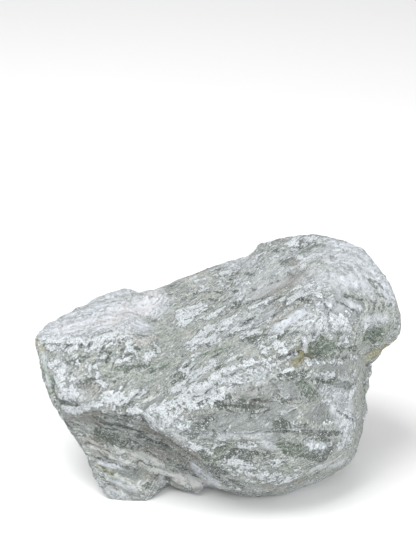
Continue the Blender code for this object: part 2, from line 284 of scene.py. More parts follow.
def cloud(points, size, octaves, seed):
    """Noise of the given size with ever smaller, weaker copies added to it."""
    total = np.zeros(points.shape[:-1])
    weight = 1.0
    weight_sum = 0.0
    for octave in range(octaves):
        total += weight * noise(points * 2.0 ** octave / size + 17.3 * octave, seed + octave)
        weight_sum += weight
        weight *= 0.5
    return total / weight_sum


print("spread of the noise over the skin:", cloud(SKIN, size=24.0, octaves=3, seed=37).std().round(2))

# %% [markdown]
# ## The grain of the stone
#
# The layers tilt back into the block and are drawn out along it, up to the
# right.  Measuring a position along, across and through the layers, each over
# its own length, turns round noise into long flat flakes that lie in the
# layers on every side of the block, as they do in the real rock.


# %% Grain
def unit(direction):
    """The direction with a length of 1."""
    return np.array(direction) / np.linalg.norm(direction)


LAYER_NORMAL = unit((0.06, -0.79, 0.61))
DRAWN_OUT = unit((0.86, 0.40, 0.43))
ACROSS = np.cross(LAYER_NORMAL, DRAWN_OUT)
UPHILL = np.array((0.0, 0.6, 0.8))  # from a ledge towards the stone above it, on the front and on the top
# The foot is a lower bed, whose layers dip to the right.
FOOT_DRAWN_OUT = unit((0.90, -0.05, -0.43))
FOOT_NORMAL = unit(np.cross(FOOT_DRAWN_OUT, np.cross((0.2, -0.6, 0.77), FOOT_DRAWN_OUT)))
FOOT_ACROSS = np.cross(FOOT_NORMAL, FOOT_DRAWN_OUT)
FOOT_STRETCH = 1.8  # the flakes of the lower bed are longer by this much
FOOT_TOP = np.array((-31.0, -28.0, 20.0))  # a point on the plane where the lower bed begins
FOOT_TOP_NORMAL = unit((0.42, -0.1, 0.9))


def above_foot(points):
    """Height of each point above the plane where the lower bed begins."""
    return (points - FOOT_TOP) @ FOOT_TOP_NORMAL


def along_grain(points, length, width, thickness):
    """Positions measured along, across and through the grain, each over its own length."""
    in_foot = (above_foot(points) < 0.0)[:, None]
    sizes = (
        (DRAWN_OUT, FOOT_DRAWN_OUT, length),
        (ACROSS, FOOT_ACROSS, width),
        (LAYER_NORMAL, FOOT_NORMAL, thickness),
    )
    places = [
        np.where(in_foot, points @ lower[:, None], points @ upper[:, None]) / size
        for upper, lower, size in sizes
    ]
    return np.concatenate(places, axis=1)


print(f"in the lower bed: {np.mean(above_foot(SKIN) < 0.0):.0%} of the points")

# %% [markdown]
# ## Lenses, ledges and hollows
#
# These are the forms that give this lump its face.  A lens is a long shallow
# pan where a smooth slip surface shows.  A ledge is the broken edge of a
# layer, with a lip above it and a drop below.  A hollow is where a piece fell
# out.  Each is a profile of the distance from a line or a point.

# %% Named forms
# Lenses: start, end, half width, depth.
LENSES = (
    ((5, -45, 60), (21, -44, 59), 3.2, 1.4),
    ((-5, -48, 47), (22, -48, 45), 5.0, 1.6),
    ((19, -46, 53), (46, -32, 45), 6.0, 1.4),
    ((18, -26, 77), (33, -22, 85), 3.0, 1.5),
    ((11, -18, 75), (23, -15, 81), 3.0, 1.3),
    ((31, -27, 83), (43, -20, 87), 2.6, 0.9),
    ((45, -22, 83), (56, -10, 83), 4.0, 1.0),
    ((-9, -47, 47), (-3, -48, 48), 2.6, 1.4),
    ((1, -48, 34), (9, -48, 36), 2.8, 1.6),
    ((23, -47, 34), (34, -44, 35), 3.4, 1.5),
    ((31, -43, 59), (39, -37, 58), 3.6, 1.2),
    ((-45, -30, 4), (-33, -31, 10), 3.0, 1.1),
    ((-41, -30, 12), (-28, -30, 9), 2.6, 1.3),
    ((15, 1, 80), (31, 0, 87), 4.6, 2.2),
    ((1, 6, 73), (13, 6, 80), 3.0, 1.0),
)
# The same on the back and at the ends.
FAR_LENSES = (
    ((-8, 43, 58), (24, 42, 62), 4.5, 1.4),
    ((-50, 32, 34), (-32, 43, 40), 4.0, 1.4),
    ((16, 46, 18), (40, 41, 24), 4.0, 1.4),
    ((-14, 43, 14), (6, 44, 12), 3.0, 1.2),
    ((20, 48, 44), (38, 44, 40), 3.0, 1.2),
    ((30, 36, 80), (50, 29, 76), 4.0, 1.4),
    ((62, 4, 30), (60, 20, 34), 4.0, 1.3),
    ((70, 12, 60), (61, 24, 72), 3.5, 1.3),
    ((-67, -4, 38), (-68, 12, 40), 4.0, 1.3),
    ((-59, 4, 18), (-61, 18, 20), 3.0, 1.2),
)
# Ledges: start, end, height, width of a broken layer's edge.
LEDGES = (
    ((-2, -46, 56), (21, -46, 53), 1.8, 5.0),
    ((21, -48, 44), (48, -32, 33), 1.8, 5.0),
    ((-7, -48, 40), (17, -48, 40), 1.4, 4.0),
    ((36, -37, 66), (53, -23, 57), 1.5, 2.5),
    ((35, -39, 63), (54, -23, 51), 1.5, 3.0),
    ((5, -46, 58), (22, -44, 57), 1.2, 3.0),
    ((-13, -45, 56), (17, -37, 73), 1.6, 5.0),
    ((-9, -45, 58), (10, -42, 70), 1.5, 3.5),
    ((-2, -15, 69), (30, -6, 86), 1.8, 4.5),
    ((8, -18, 73), (29, -13, 84), 1.5, 3.5),
    ((17, -28, 76), (43, -18, 88), 1.6, 3.5),
    ((-20, 14, 69), (-2, 21, 74), 1.3, 4.0),
    ((31, -5, 86), (47, 12, 92), 1.6, 3.5),
    ((5, -1, 74), (17, 0, 81), 1.2, 3.0),
    ((-66, -21, 42), (-52, -31, 46), 1.1, 3.5),
    ((32, -16, 85), (39, -22, 87), 1.4, 2.5),
    ((39, -22, 87), (55, -16, 78), 0.8, 2.5),
    ((-54, -26, 24), (-13, -26, 5), 1.8, 3.5),
    ((-52, -27, 16), (-28, -30, 7), 1.4, 3.0),
    ((-48, -29, 9), (-32, -32, 3), 1.3, 3.0),
    ((32, -41, 22), (53, -26, 25), 1.5, 4.0),
    ((9, -39, 11), (32, -41, 22), 1.5, 4.0),
)
# The same on the back and at the ends.
FAR_LEDGES = (
    ((-58, 24, 46), (-26, 35, 58), 1.8, 4.5),
    ((12, 38, 70), (52, 33, 60), 1.7, 4.5),
    ((-30, 41, 22), (26, 45, 28), 1.6, 4.5),
    ((-4, 48, 40), (36, 44, 36), 1.4, 4.0),
    ((-52, 31, 24), (-30, 40, 14), 1.6, 4.0),
    ((44, 38, 48), (57, 33, 26), 1.5, 4.0),
    ((-22, 36, 60), (12, 37, 74), 1.6, 4.5),
    ((59, -8, 40), (65, 20, 46), 1.6, 4.0),
    ((61, 0, 20), (59, 24, 24), 1.5, 4.0),
    ((71, 10, 70), (65, 26, 56), 1.5, 4.0),
    ((-70, -12, 46), (-62, 16, 52), 1.6, 4.0),
    ((-62, -10, 28), (-64, 18, 30), 1.5, 4.0),
)
# Hollows: centre, radius, depth; a depth below 0 fills the surface out.
HOLLOWS = (
    ((62, -14, 67), 6.5, 4.0),
    ((65, -7, 56), 5.0, 2.0),
    ((38, -32, 73), 8.0, 2.6),
    ((31, -38, 72), 6.0, 1.8),
    ((-48, -28, 33), 16.0, 1.8),
    ((-32, -30, 28), 14.0, 1.5),
    ((13, -29, 74), 2.4, 0.5),
    ((-21, -26, 8), 3.0, 2.0),
    ((7, -2, 75), 2.6, 0.5),
    ((18, 29, 86), 5.0, 1.2),
    ((33, 21, 91), 5.0, 1.0),
    ((-34, 23, 66), 7.0, -1.6),
    ((64, -1, 51), 5.0, -1.2),
)
LAYER_STEP = 3.4  # thickness of a split layer
LAYER_RELIEF = 0.9  # how far a broken layer stands proud
LAYER_WAVE = 3.0  # how far the layers wander
LUMP_SIZE = 24.0  # length of the low lumps
LUMP_RELIEF = 1.1  # how far they rise
CHIP_SIZE = 6.0  # length of the small chips
CHIP_RELIEF = 0.45  # how deep they are
REST_FADE = 4.0  # the relief dies away over this height above the resting face


def line_place(points, start, end):
    """How far each point lies along a line (0 to 1), its distance from it, and how far uphill of it."""
    start = np.array(start, dtype=float)
    axis = np.array(end, dtype=float) - start
    share = (points - start) @ axis / (axis @ axis)
    offset = points - start - np.clip(share, 0.0, 1.0)[:, None] * axis
    upward = UPHILL - axis * (UPHILL @ axis) / (axis @ axis)
    upward /= np.linalg.norm(upward)
    return share, np.linalg.norm(offset, axis=1), offset @ upward


def lens_relief(points, ragged, start, end, half_width, depth):
    """A shallow long pan, deepest under its upper rim and open at its lower side."""
    _, distance, height = line_place(points, start, end)
    edge = distance / half_width + 0.5 * ragged
    upper_side = 0.35 + 0.65 * smooth_step(-1.0, 1.0, height / half_width)
    return -0.7 * depth * upper_side * smooth_step(1.25, 0.85, edge)


def ledge_relief(points, ragged, start, end, height, width):
    """The edge of a broken layer: a lip above a ragged line and a drop under it."""
    share, distance, above = line_place(points, start, end)
    ends = smooth_step(-0.05, 0.2, share) * smooth_step(1.05, 0.8, share)
    lip = smooth_step(-0.8, 0.8, above + 1.1 * ragged) - 0.45
    return height * lip * ends * smooth_step(2.2 * width, 0.2 * width, distance)


def hollow_relief(points, ragged, centre, radius, depth):
    """A round hollow with a soft uneven rim."""
    distance = np.linalg.norm(points - np.array(centre, dtype=float), axis=1)
    return -depth * smooth_step(1.0, 0.35, distance / radius + 0.2 * ragged)


def layer_relief(points, step, relief, wave, seed):
    """Split layers: the surface rises slowly over a layer and drops at its broken edge."""
    wander = wave * cloud(along_grain(points, 26.0, 11.0, 18.0), size=1.0, octaves=3, seed=seed)
    through = np.where(above_foot(points) < 0.0, points @ FOOT_NORMAL, points @ LAYER_NORMAL)
    layer = (through + wander) / step
    rise = layer - np.floor(layer)
    strength = smooth_step(-0.5, 0.35, cloud(points, size=30.0, octaves=2, seed=seed + 12))
    return relief * strength * (rise - smooth_step(0.82, 1.0, rise) - 0.4)


def main_relief(points):
    """The forms that the plain solid has too: lumps, chips, layers, lenses, ledges and hollows."""
    ragged = cloud(points, size=5.0, octaves=3, seed=5)
    relief = LUMP_RELIEF * cloud(points, LUMP_SIZE, octaves=3, seed=37)
    relief += CHIP_RELIEF * cloud(points, CHIP_SIZE, octaves=2, seed=41)
    relief += layer_relief(points, LAYER_STEP, LAYER_RELIEF, LAYER_WAVE, seed=11)
    for lens in LENSES + FAR_LENSES:
        relief += lens_relief(points, ragged, *lens)
    for ledge in LEDGES + FAR_LEDGES:
        relief += ledge_relief(points, ragged, *ledge)
    for hollow in HOLLOWS:
        relief += hollow_relief(points, ragged, *hollow)
    return relief


MAIN_RELIEF = main_relief(SKIN)
print("main relief, mm:", MAIN_RELIEF.min().round(2), "to", MAIN_RELIEF.max().round(2))

# %% [markdown]
# ## Fine splintering
#
# Between the main forms the surface is never smooth: thin flakes stand up
# along the grain, and the talc crumbles.  This part is too fine for the plain
# solid, so it lives only here.

# %% Fine relief
FLAKE_STEP = 1.15  # thickness of a thin flake
FLAKE_RELIEF = 0.30  # how far it stands proud
FLAKE_WAVE = 1.6  # how far the flakes wander
SPLINTER_RELIEF = 0.22  # how far the splinters stand out
CRUMB_RELIEF = 0.10  # and the crumbs


def fine_relief(points):
    """Thin flakes, splinters drawn out along the grain, and crumbs."""
    relief = layer_relief(points, FLAKE_STEP, FLAKE_RELIEF, FLAKE_WAVE, seed=53)
    relief += SPLINTER_RELIEF * cloud(along_grain(points, 7.0, 2.6, 1.5), size=1.0, octaves=2, seed=61)
    relief += CRUMB_RELIEF * cloud(points, size=1.9, octaves=2, seed=67)
    return relief


FINE_RELIEF = fine_relief(SKIN)
print("fine relief, mm:", FINE_RELIEF.min().round(2), "to", FINE_RELIEF.max().round(2))

# %% [markdown]
# ## Where the stone changes colour
#
# The colour follows what happened to the stone.  Struck crests and crumbled
# patches are bruised white, sheltered places stay dark green, slip lenses
# are plain grey, and a few places are stained.  Texture painting could do
# this, but it needs the skin unwrapped flat.  Short strokes in space need
# nothing of the kind: each is a line at the surface with a half width and a
# strength.  They become one number per point, kept as a named attribute, and
# the material sharpens the edges with finer noise.


# %% Strokes and bruises
def strokes(half_width, strength, *lines):
    """Marks of one half width and strength; a line is the start and the end of a mark in one."""
    return tuple((line[:3], line[3:], half_width, strength) for line in lines)


# Bruises on crests, on broken edges and along the lips of the ledges.
BRUISES = (
    *strokes(0.7, 0.4, (-28, -3, 64, -24, -12, 62)),
    *strokes(
        0.7, 0.6, (-50, -28, 16, -47, -29, 14), (-3, -48, 40, 3, -48, 39), (4, -41, 15, 9, -39, 11),
        (17, -45, 57, 31, -43, 56), (33, -31, 7, 41, -29, 10), (39, -34, 16, 45, -32, 18),
        (45, -31, 18, 51, -27, 19),
    ),
    *strokes(
        0.7, 0.8, (-40, -29, 19, -37, -30, 17), (-39, -18, 61, -37, -18, 62), (-23, 12, 67, -17, 11, 69),
        (-8, 19, 72, -4, 19, 73), (-4, 30, 75, 0, 31, 76), (-3, -2, 70, 3, 2, 74), (-2, 20, 74, 1, 18, 74),
        (1, -49, 40, 5, -48, 39), (1, 24, 75, 4, 20, 75), (2, 30, 76, 5, 29, 77), (3, -37, 68, 9, -36, 70),
        (3, 5, 74, 11, 7, 79), (3, 27, 76, 7, 24, 76), (5, -46, 56, 8, -46, 57), (5, 18, 75, 7, 8, 77),
        (6, 22, 76, 11, 20, 81), (11, 8, 79, 15, 8, 81), (12, -26, 74, 15, -26, 75),
        (17, -11, 79, 26, -11, 83), (26, -46, 49, 31, -46, 44), (28, -47, 48, 31, -46, 43),
        (52, 0, 90, 61, 9, 89),
    ),
    *strokes(
        0.7, 1.0, (-54, -9, 64, -52, -9, 65), (-2, 4, 71, -2, 3, 71), (11, -46, 56, 12, -47, 53),
        (23, 20, 87, 26, 16, 87), (24, -32, 78, 28, -31, 80),
    ),
    *strokes(0.7, 1.3, (8, -48, 36, 12, -48, 36)),
    *strokes(1.0, 0.6, (-28, 2, 64, -24, 3, 64)),
    *strokes(
        1.0, 0.8, (-49, -23, 56, -45, -27, 53), (-48, -16, 61, -44, -15, 63), (4, -18, 71, 8, -16, 74),
        (7, -48, 37, 12, -48, 37), (8, -20, 73, 15, -24, 76), (12, -10, 77, 33, -8, 87),
        (16, 25, 84, 19, 25, 86), (17, -44, 19, 27, -43, 20), (35, -38, 65, 44, -32, 61),
    ),
    *strokes(
        1.0, 1.0, (-10, -23, 63, -9, -24, 64), (-10, 23, 73, -6, 24, 73), (-8, 18, 72, -5, 18, 73),
        (44, -33, 53, 51, -27, 44),
    ),
    *strokes(
        1.0, 1.3, (-67, -21, 42, -63, -24, 44), (-67, -21, 42, -63, -23, 45), (-60, -26, 39, -53, -30, 43),
        (-57, -28, 39, -53, -31, 43), (-56, -12, 62, -53, -11, 63), (-37, -32, 34, -34, -33, 37),
        (-28, -39, 50, -24, -40, 52), (-2, -48, 36, 2, -48, 37), (3, -48, 33, 7, -48, 34),
        (5, -1, 75, 9, 0, 77), (10, -22, 74, 16, -26, 76), (11, -1, 78, 15, -1, 80),
        (14, -4, 79, 18, -4, 81), (22, -32, 77, 25, -31, 79), (23, -16, 81, 26, -15, 82),
        (24, -41, 66, 28, -40, 67), (24, -15, 82, 29, -15, 84), (27, -38, 72, 30, -37, 73),
        (31, -14, 85, 37, -16, 87), (36, -33, 77, 39, -31, 77), (37, -39, 60, 42, -34, 59),
        (41, -37, 41, 45, -34, 40), (53, -25, 36, 57, -17, 32), (61, -14, 71, 64, -12, 71),
    ),
    *strokes(
        1.0, 1.6, (9, -26, 73, 12, -26, 74), (10, -23, 73, 13, -25, 75), (15, -21, 76, 17, -20, 78),
        (15, -21, 76, 18, -20, 78), (26, -32, 79, 29, -31, 80), (32, -15, 85, 36, -15, 87),
        (32, 24, 91, 35, 21, 92), (33, -14, 86, 36, -15, 87), (38, -38, 60, 42, -35, 58),
    ),
    *strokes(
        1.4, 0.6, (8, -49, 42, 14, -48, 37), (10, 10, 79, 13, 8, 80), (22, -41, 15, 30, -37, 14),
        (30, 4, 87, 33, 1, 88),
    ),
    *strokes(
        1.4, 0.8, (-60, -17, 57, -57, -15, 59), (-54, -14, 61, -51, -14, 61), (-42, -18, 61, -39, -17, 63),
        (-33, -9, 66, -29, -3, 64), (-25, 20, 68, -22, 15, 68), (-23, 12, 67, -15, 12, 70),
        (-4, -3, 70, -2, -2, 71), (-1, -44, 64, 4, -43, 65), (3, 3, 74, 9, 6, 77), (4, 20, 75, 7, 14, 78),
        (25, -12, 83, 32, -12, 86), (33, -13, 86, 42, -20, 88), (33, 13, 90, 36, 7, 90),
        (58, -15, 73, 70, -6, 70),
    ),
    *strokes(
        1.4, 1.0, (-61, -22, 50, -58, -22, 52), (-59, -26, 41, -47, -33, 47), (-59, -17, 57, -57, -17, 57),
        (-17, 6, 68, -13, -3, 67), (0, 20, 74, 3, 16, 74), (28, 26, 90, 32, 25, 91),
        (32, -37, 77, 36, -33, 78),
    ),
    *strokes(
        1.4, 1.3, (-34, -33, 51, -30, -31, 52), (-13, -36, 59, -11, -35, 60), (-8, -34, 62, -6, -39, 63),
        (-3, -20, 67, 0, -21, 69), (8, -42, 67, 12, -42, 68), (33, -36, 77, 37, -33, 77),
    ),
    *strokes(
        1.4, 1.6, (-32, -39, 47, -27, -43, 46), (-14, -36, 59, -11, -35, 60), (1, -44, 64, 5, -43, 65),
        (33, -16, 86, 36, -15, 87), (34, -36, 75, 37, -34, 75), (34, -35, 74, 37, -34, 75),
    ),
    *strokes(2.0, 0.4, (15, 21, 83, 18, 28, 86), (34, 23, 91, 45, 15, 93)),
    *strokes(
        2.0, 0.6, (10, -6, 77, 26, -9, 84), (11, 0, 78, 17, -1, 81), (13, -29, 74, 17, -36, 74),
        (24, -46, 29, 31, -43, 25), (29, 11, 88, 35, 2, 89), (34, -7, 87, 39, -12, 89),
        (35, -37, 69, 48, -27, 64), (36, -37, 64, 50, -26, 57), (44, -36, 30, 52, -26, 22),
        (45, -35, 28, 50, -30, 28),
    ),
    *strokes(
        2.0, 0.8, (-71, -6, 62, -64, -7, 63), (-69, -9, 60, -57, -13, 61), (-63, -24, 41, -54, -30, 42),
        (-52, -21, 56, -44, -18, 61), (-51, -23, 54, -44, -28, 53), (-42, -32, 50, -38, -31, 52),
        (-40, -21, 59, -37, -20, 61), (-35, -16, 64, -34, -19, 61), (-34, -34, 51, -27, -32, 53),
        (-28, -40, 49, -23, -43, 52), (-15, -4, 66, -13, 0, 68), (-3, -14, 68, 1, -15, 71),
        (9, -20, 74, 19, -19, 79), (17, -29, 76, 31, -27, 83), (21, -32, 77, 25, -39, 74),
        (30, 27, 90, 32, 17, 90), (51, -29, 33, 53, -26, 27),
    ),
    *strokes(
        2.0, 1.0, (-29, -19, 59, -25, -14, 61), (-26, 9, 65, -25, 8, 65), (-13, -28, 61, -8, -38, 62),
        (-10, -47, 36, -3, -47, 34), (39, -37, 58, 52, -25, 47),
    ),
    *strokes(2.0, 1.3, (-13, -28, 60, -10, -37, 61)),
    *strokes(
        2.0, 1.6, (-32, -39, 47, -28, -42, 46), (-32, -37, 45, -28, -42, 46), (-31, -40, 47, -28, -42, 46),
        (-18, -44, 54, -13, -44, 57), (-8, -15, 66, -2, -17, 68),
    ),
    *strokes(
        2.8, 0.4, (-20, -44, 40, -13, -47, 39), (-2, 25, 75, 8, 28, 77), (9, 18, 79, 18, 12, 83),
        (34, -44, 34, 43, -37, 29), (46, -27, 74, 55, -20, 62),
    ),
    *strokes(2.8, 0.6, (23, -45, 22, 30, -36, 13)),
    *strokes(
        2.8, 0.8, (4, -47, 31, 11, -47, 27), (5, -43, 67, 22, -40, 70), (7, -47, 29, 13, -45, 22),
        (12, -46, 25, 21, -44, 20),
    ),
    *strokes(
        2.8, 1.0, (-65, -8, 62, -48, -13, 63), (-45, -31, 50, -35, -35, 49), (-16, -37, 57, -11, -27, 62),
        (-8, -38, 62, -2, -34, 66), (-4, -10, 69, 4, -11, 72),
    ),
    *strokes(4.0, 0.4, (7, -46, 25, 33, -37, 15), (16, 20, 84, 39, 8, 91), (18, 28, 86, 41, 22, 93)),
    *strokes(4.0, 0.6, (-25, -43, 44, -11, -47, 48)),
    *strokes(
        4.0, 0.8, (-56, -10, 64, -36, -12, 66), (-11, -45, 55, 7, -44, 64), (45, -33, 50, 53, -26, 32),
    ),
    *strokes(
        4.0, 1.0, (-66, -16, 54, -59, -26, 46), (-21, -44, 50, -6, -45, 59), (-17, -1, 66, -9, 5, 70),
        (-11, -16, 64, -5, -11, 68),
    ),
    *strokes(5.6, 0.8, (31, -31, 81, 49, -20, 79)),
)
print("bruises:", len(BRUISES))

# %% [markdown]
# ## Dark stone and painted shade
#
# Chlorite is dark green, and it shows where nothing has struck or rubbed the
# lump.  These dark patches are partly chlorite and partly painted shade:
# under the lips, in the clefts between the blocks, and on the lower side of
# each layer.

# %% Dark patches
DARK_PATCHES = (
    *strokes(
        0.7, 0.6, (-64, -23, 42, -55, -29, 46), (-51, -28, 18, -37, -30, 17), (-29, 20, 67, -26, 20, 68),
        (-15, -26, 60, -12, -27, 61), (-2, 15, 73, 1, 13, 73), (1, 6, 73, 5, 6, 75),
        (10, 10, 79, 11, 6, 79), (29, -37, 13, 35, -35, 14), (37, -32, 78, 40, -31, 76),
        (41, -36, 22, 47, -32, 22),
    ),
    *strokes(
        0.7, 0.8, (-62, -11, 61, -55, -13, 62), (-56, -16, 59, -52, -17, 59), (-35, -36, 49, -28, -35, 51),
        (-33, -10, 65, -29, -8, 64), (-15, -42, 57, -11, -44, 59), (-15, -20, 61, -13, -21, 62),
        (-6, -48, 40, -3, -48, 42), (-5, -19, 66, -3, -22, 67), (-4, 10, 72, -3, 9, 72),
        (-2, -16, 69, 2, -15, 71), (0, -3, 71, 1, -5, 72), (4, -21, 71, 6, -22, 72), (4, 22, 75, 6, 20, 76),
        (6, 1, 75, 8, -4, 76), (7, 18, 77, 10, 12, 79), (10, 18, 80, 14, 11, 81), (12, 6, 80, 14, 4, 80),
        (23, -45, 55, 26, -45, 55), (31, -10, 86, 33, -13, 86), (44, -27, 76, 48, -24, 74),
        (45, 8, 92, 46, 4, 92),
    ),
    *strokes(
        0.7, 1.0, (-64, -23, 41, -57, -28, 43), (-45, -20, 59, -43, -18, 61), (-33, -16, 63, -32, -16, 62),
        (-22, -24, 57, -20, -23, 58), (3, -47, 53, 6, -47, 52), (8, -17, 74, 13, -16, 76),
        (10, -16, 75, 13, -15, 76), (20, -48, 45, 31, -46, 43), (31, -36, 78, 32, -37, 76),
        (31, -16, 85, 39, -21, 87), (39, -40, 35, 44, -35, 32), (39, -37, 60, 45, -32, 56),
    ),
    *strokes(1.0, 0.4, (12, 12, 80, 16, 7, 81)),
    *strokes(
        1.0, 0.6, (-51, -28, 15, -42, -30, 11), (-36, -25, 57, -27, -20, 58), (5, 10, 76, 7, 8, 77),
        (11, 17, 81, 15, 12, 82), (32, 26, 91, 36, 23, 92),
    ),
    *strokes(
        1.0, 0.8, (-59, -17, 57, -54, -17, 58), (-54, -30, 39, -47, -34, 44), (-52, -13, 62, -48, -13, 63),
        (-39, -20, 61, -35, -19, 62), (-38, -14, 65, -35, -13, 65), (-18, -33, 57, -14, -33, 59),
        (-16, -26, 59, -13, -27, 61), (-15, -47, 42, -12, -47, 43), (-8, -46, 55, -5, -46, 56),
        (-7, -25, 64, 2, -28, 69), (-2, -30, 66, 0, -30, 68), (1, -46, 58, 4, -46, 58),
        (8, -38, 70, 13, -39, 71), (13, -44, 60, 17, -44, 61), (28, 5, 87, 30, 0, 87),
        (28, 15, 88, 32, 9, 89), (37, -4, 89, 39, -7, 90), (44, -32, 17, 49, -27, 15),
        (46, -30, 17, 49, -27, 15), (46, -29, 66, 50, -25, 64), (49, -14, 86, 56, -10, 82),
        (51, -28, 27, 56, -20, 22), (52, -21, 73, 53, -21, 71),
    ),
    *strokes(
        1.0, 1.0, (-64, -16, 55, -61, -16, 57), (-47, -33, 41, -35, -36, 43), (-40, -32, 37, -36, -34, 39),
        (-23, -23, 57, -20, -23, 59), (0, -39, 66, 3, -39, 67), (11, -47, 53, 18, -46, 52),
        (28, -47, 46, 34, -44, 45), (30, -46, 43, 37, -42, 39), (33, -44, 31, 43, -36, 25),
        (41, -37, 45, 45, -34, 42),
    ),
    *strokes(1.0, 1.3, (13, -47, 52, 18, -46, 52), (24, -25, 80, 27, -25, 81)),
    *strokes(
        1.4, 0.6, (-42, -23, 57, -32, -23, 58), (-39, -15, 64, -38, -18, 62), (-17, -32, 22, -13, -38, 25),
        (9, -27, 73, 14, -29, 75), (12, -27, 74, 17, -29, 76), (20, 26, 86, 29, 20, 89),
        (37, -38, 21, 41, -35, 19), (57, -10, 81, 63, -6, 79), (63, -2, 81, 67, -2, 78),
        (69, -6, 71, 72, -6, 66),
    ),
    *strokes(
        1.4, 0.8, (-54, -30, 40, -47, -33, 42), (-54, -27, 25, -50, -27, 25), (-44, -32, 39, -35, -34, 40),
        (-11, -48, 41, -7, -48, 43), (5, -1, 74, 11, -4, 77), (34, -43, 30, 43, -36, 23),
        (34, 16, 91, 44, 17, 93), (40, -39, 37, 42, -37, 33), (61, -12, 60, 65, -10, 60),
        (66, -4, 77, 70, -2, 75),
    ),
    *strokes(
        1.4, 1.0, (-30, -31, 7, -27, -30, 5), (-22, -26, 10, -20, -24, 4), (0, -47, 31, 4, -47, 32),
        (0, -46, 56, 1, -47, 54), (11, -27, 74, 13, -30, 74), (33, -45, 42, 48, -32, 33),
        (36, -36, 71, 45, -30, 68), (39, -32, 74, 43, -30, 70),
    ),
    *strokes(1.4, 1.3, (13, -47, 52, 19, -46, 53)),
    *strokes(2.0, 0.4, (-27, -23, 56, -14, -31, 59), (-14, 15, 70, -5, 15, 72), (58, -12, 78, 69, -4, 75)),
    *strokes(
        2.0, 0.6, (-68, -19, 46, -65, -22, 44), (-21, -31, 26, -11, -37, 23), (-14, -32, 19, -10, -33, 17),
        (-4, -26, 66, 3, -29, 69), (-2, -46, 28, 2, -45, 24), (5, -43, 18, 10, -41, 14),
        (6, -48, 34, 20, -47, 32), (45, -29, 69, 55, -19, 65), (57, -13, 79, 61, -12, 75),
    ),
    *strokes(
        2.0, 0.8, (-71, -15, 51, -67, -19, 48), (-56, -25, 51, -49, -26, 53), (-51, -28, 34, -45, -27, 27),
        (-48, -29, 36, -44, -28, 31), (-6, -47, 34, -2, -47, 29), (-5, -47, 31, 2, -45, 22),
        (-2, -47, 32, 5, -48, 39), (7, -48, 34, 12, -47, 31), (22, -42, 64, 33, -39, 65),
        (26, 14, 87, 30, 9, 88), (33, 23, 91, 42, 17, 93), (59, -17, 66, 64, -12, 63),
        (61, -12, 60, 65, -10, 61), (62, 1, 84, 65, 2, 82),
    ),
    *strokes(
        2.0, 1.0, (-49, -27, 28, -43, -28, 26), (-31, -31, 31, -27, -29, 25), (-22, -31, 27, -18, -33, 25),
        (-8, -48, 44, -2, -49, 44), (-8, -48, 46, -3, -48, 48), (0, -46, 55, 3, -46, 55),
        (5, -46, 56, 9, -46, 55), (14, -46, 55, 18, -46, 53), (20, -47, 48, 25, -47, 45),
        (32, -42, 59, 36, -40, 55), (33, -44, 32, 45, -34, 27), (35, -40, 62, 39, -38, 56),
        (38, -34, 73, 44, -29, 72), (45, -31, 57, 52, -25, 51), (60, -16, 66, 67, -10, 64),
    ),
    *strokes(2.0, 1.3, (-9, -48, 45, -5, -48, 47), (-8, -48, 44, -2, -49, 43), (22, -47, 47, 27, -47, 46)),
    *strokes(2.8, 0.4, (-46, -25, 54, -36, -26, 56), (26, -45, 26, 42, -31, 15)),
    *strokes(2.8, 0.6, (24, -33, 78, 29, -33, 79), (58, -14, 52, 62, -1, 32)),
    *strokes(2.8, 0.8, (-46, -30, 35, -37, -31, 33), (-32, -30, 28, -21, -30, 24)),
    *strokes(2.8, 1.0, (24, -47, 37, 33, -44, 32), (33, -41, 61, 38, -39, 55), (59, -17, 68, 66, -11, 67)),
)
print("dark patches:", len(DARK_PATCHES))

# %% [markdown]
# ## Slip faces and loose talc
#
# Where two layers slid over each other the stone is smooth and even.  Loose
# talc settles on it as a thin pale dust, and in a few places it is pink.  Low
# in front, under the arch between the foot and the belly, the dust marks are
# painted light: they lighten a place that lies in shade.

# %% Slip faces, dust and pink talc
FACETS = (
    *strokes(1.0, 0.8, (-47, -29, 16, -41, -30, 15)),
    *strokes(1.1, 0.9, (-32, -29, 16, -22, -26, 10)),
    *strokes(1.2, 0.9, (24, -39, 72, 31, -37, 75)),
    *strokes(1.2, 1.0, (13, -19, 76, 26, -15, 83), (37, -37, 67, 50, -26, 60)),
    *strokes(1.5, 1.0, (-30, -38, 48, -22, -38, 54)),
    *strokes(1.7, 0.8, (-61, -25, 35, -52, -27, 34)),
    *strokes(1.7, 0.9, (-43, -30, 8, -35, -31, 5)),
    *strokes(1.9, 0.9, (52, -18, 78, 57, -12, 80)),
    *strokes(1.9, 1.0, (7, -45, 60, 21, -44, 60), (23, -28, 79, 33, -24, 84)),
    *strokes(2.1, 0.8, (34, -43, 34, 42, -37, 29), (40, -21, 88, 52, -18, 79)),
    *strokes(2.1, 0.9, (-6, -48, 43, 2, -49, 44)),
    *strokes(2.1, 1.0, (46, -16, 88, 55, -14, 80)),
    *strokes(2.5, 0.4, (-42, -29, 52, -27, -29, 53)),
    *strokes(2.5, 0.8, (50, -8, 89, 56, -4, 87)),
    *strokes(2.5, 0.9, (-39, -30, 13, -33, -31, 11)),
    *strokes(2.9, 0.7, (22, -43, 62, 30, -43, 59)),
    *strokes(2.9, 0.9, (18, -48, 38, 22, -47, 40)),
    *strokes(3.3, 0.9, (16, 0, 80, 31, -2, 87)),
    *strokes(3.8, 1.0, (21, -46, 52, 44, -34, 44)),
    *strokes(4.2, 1.0, (-5, -48, 47, 19, -48, 47)),
)
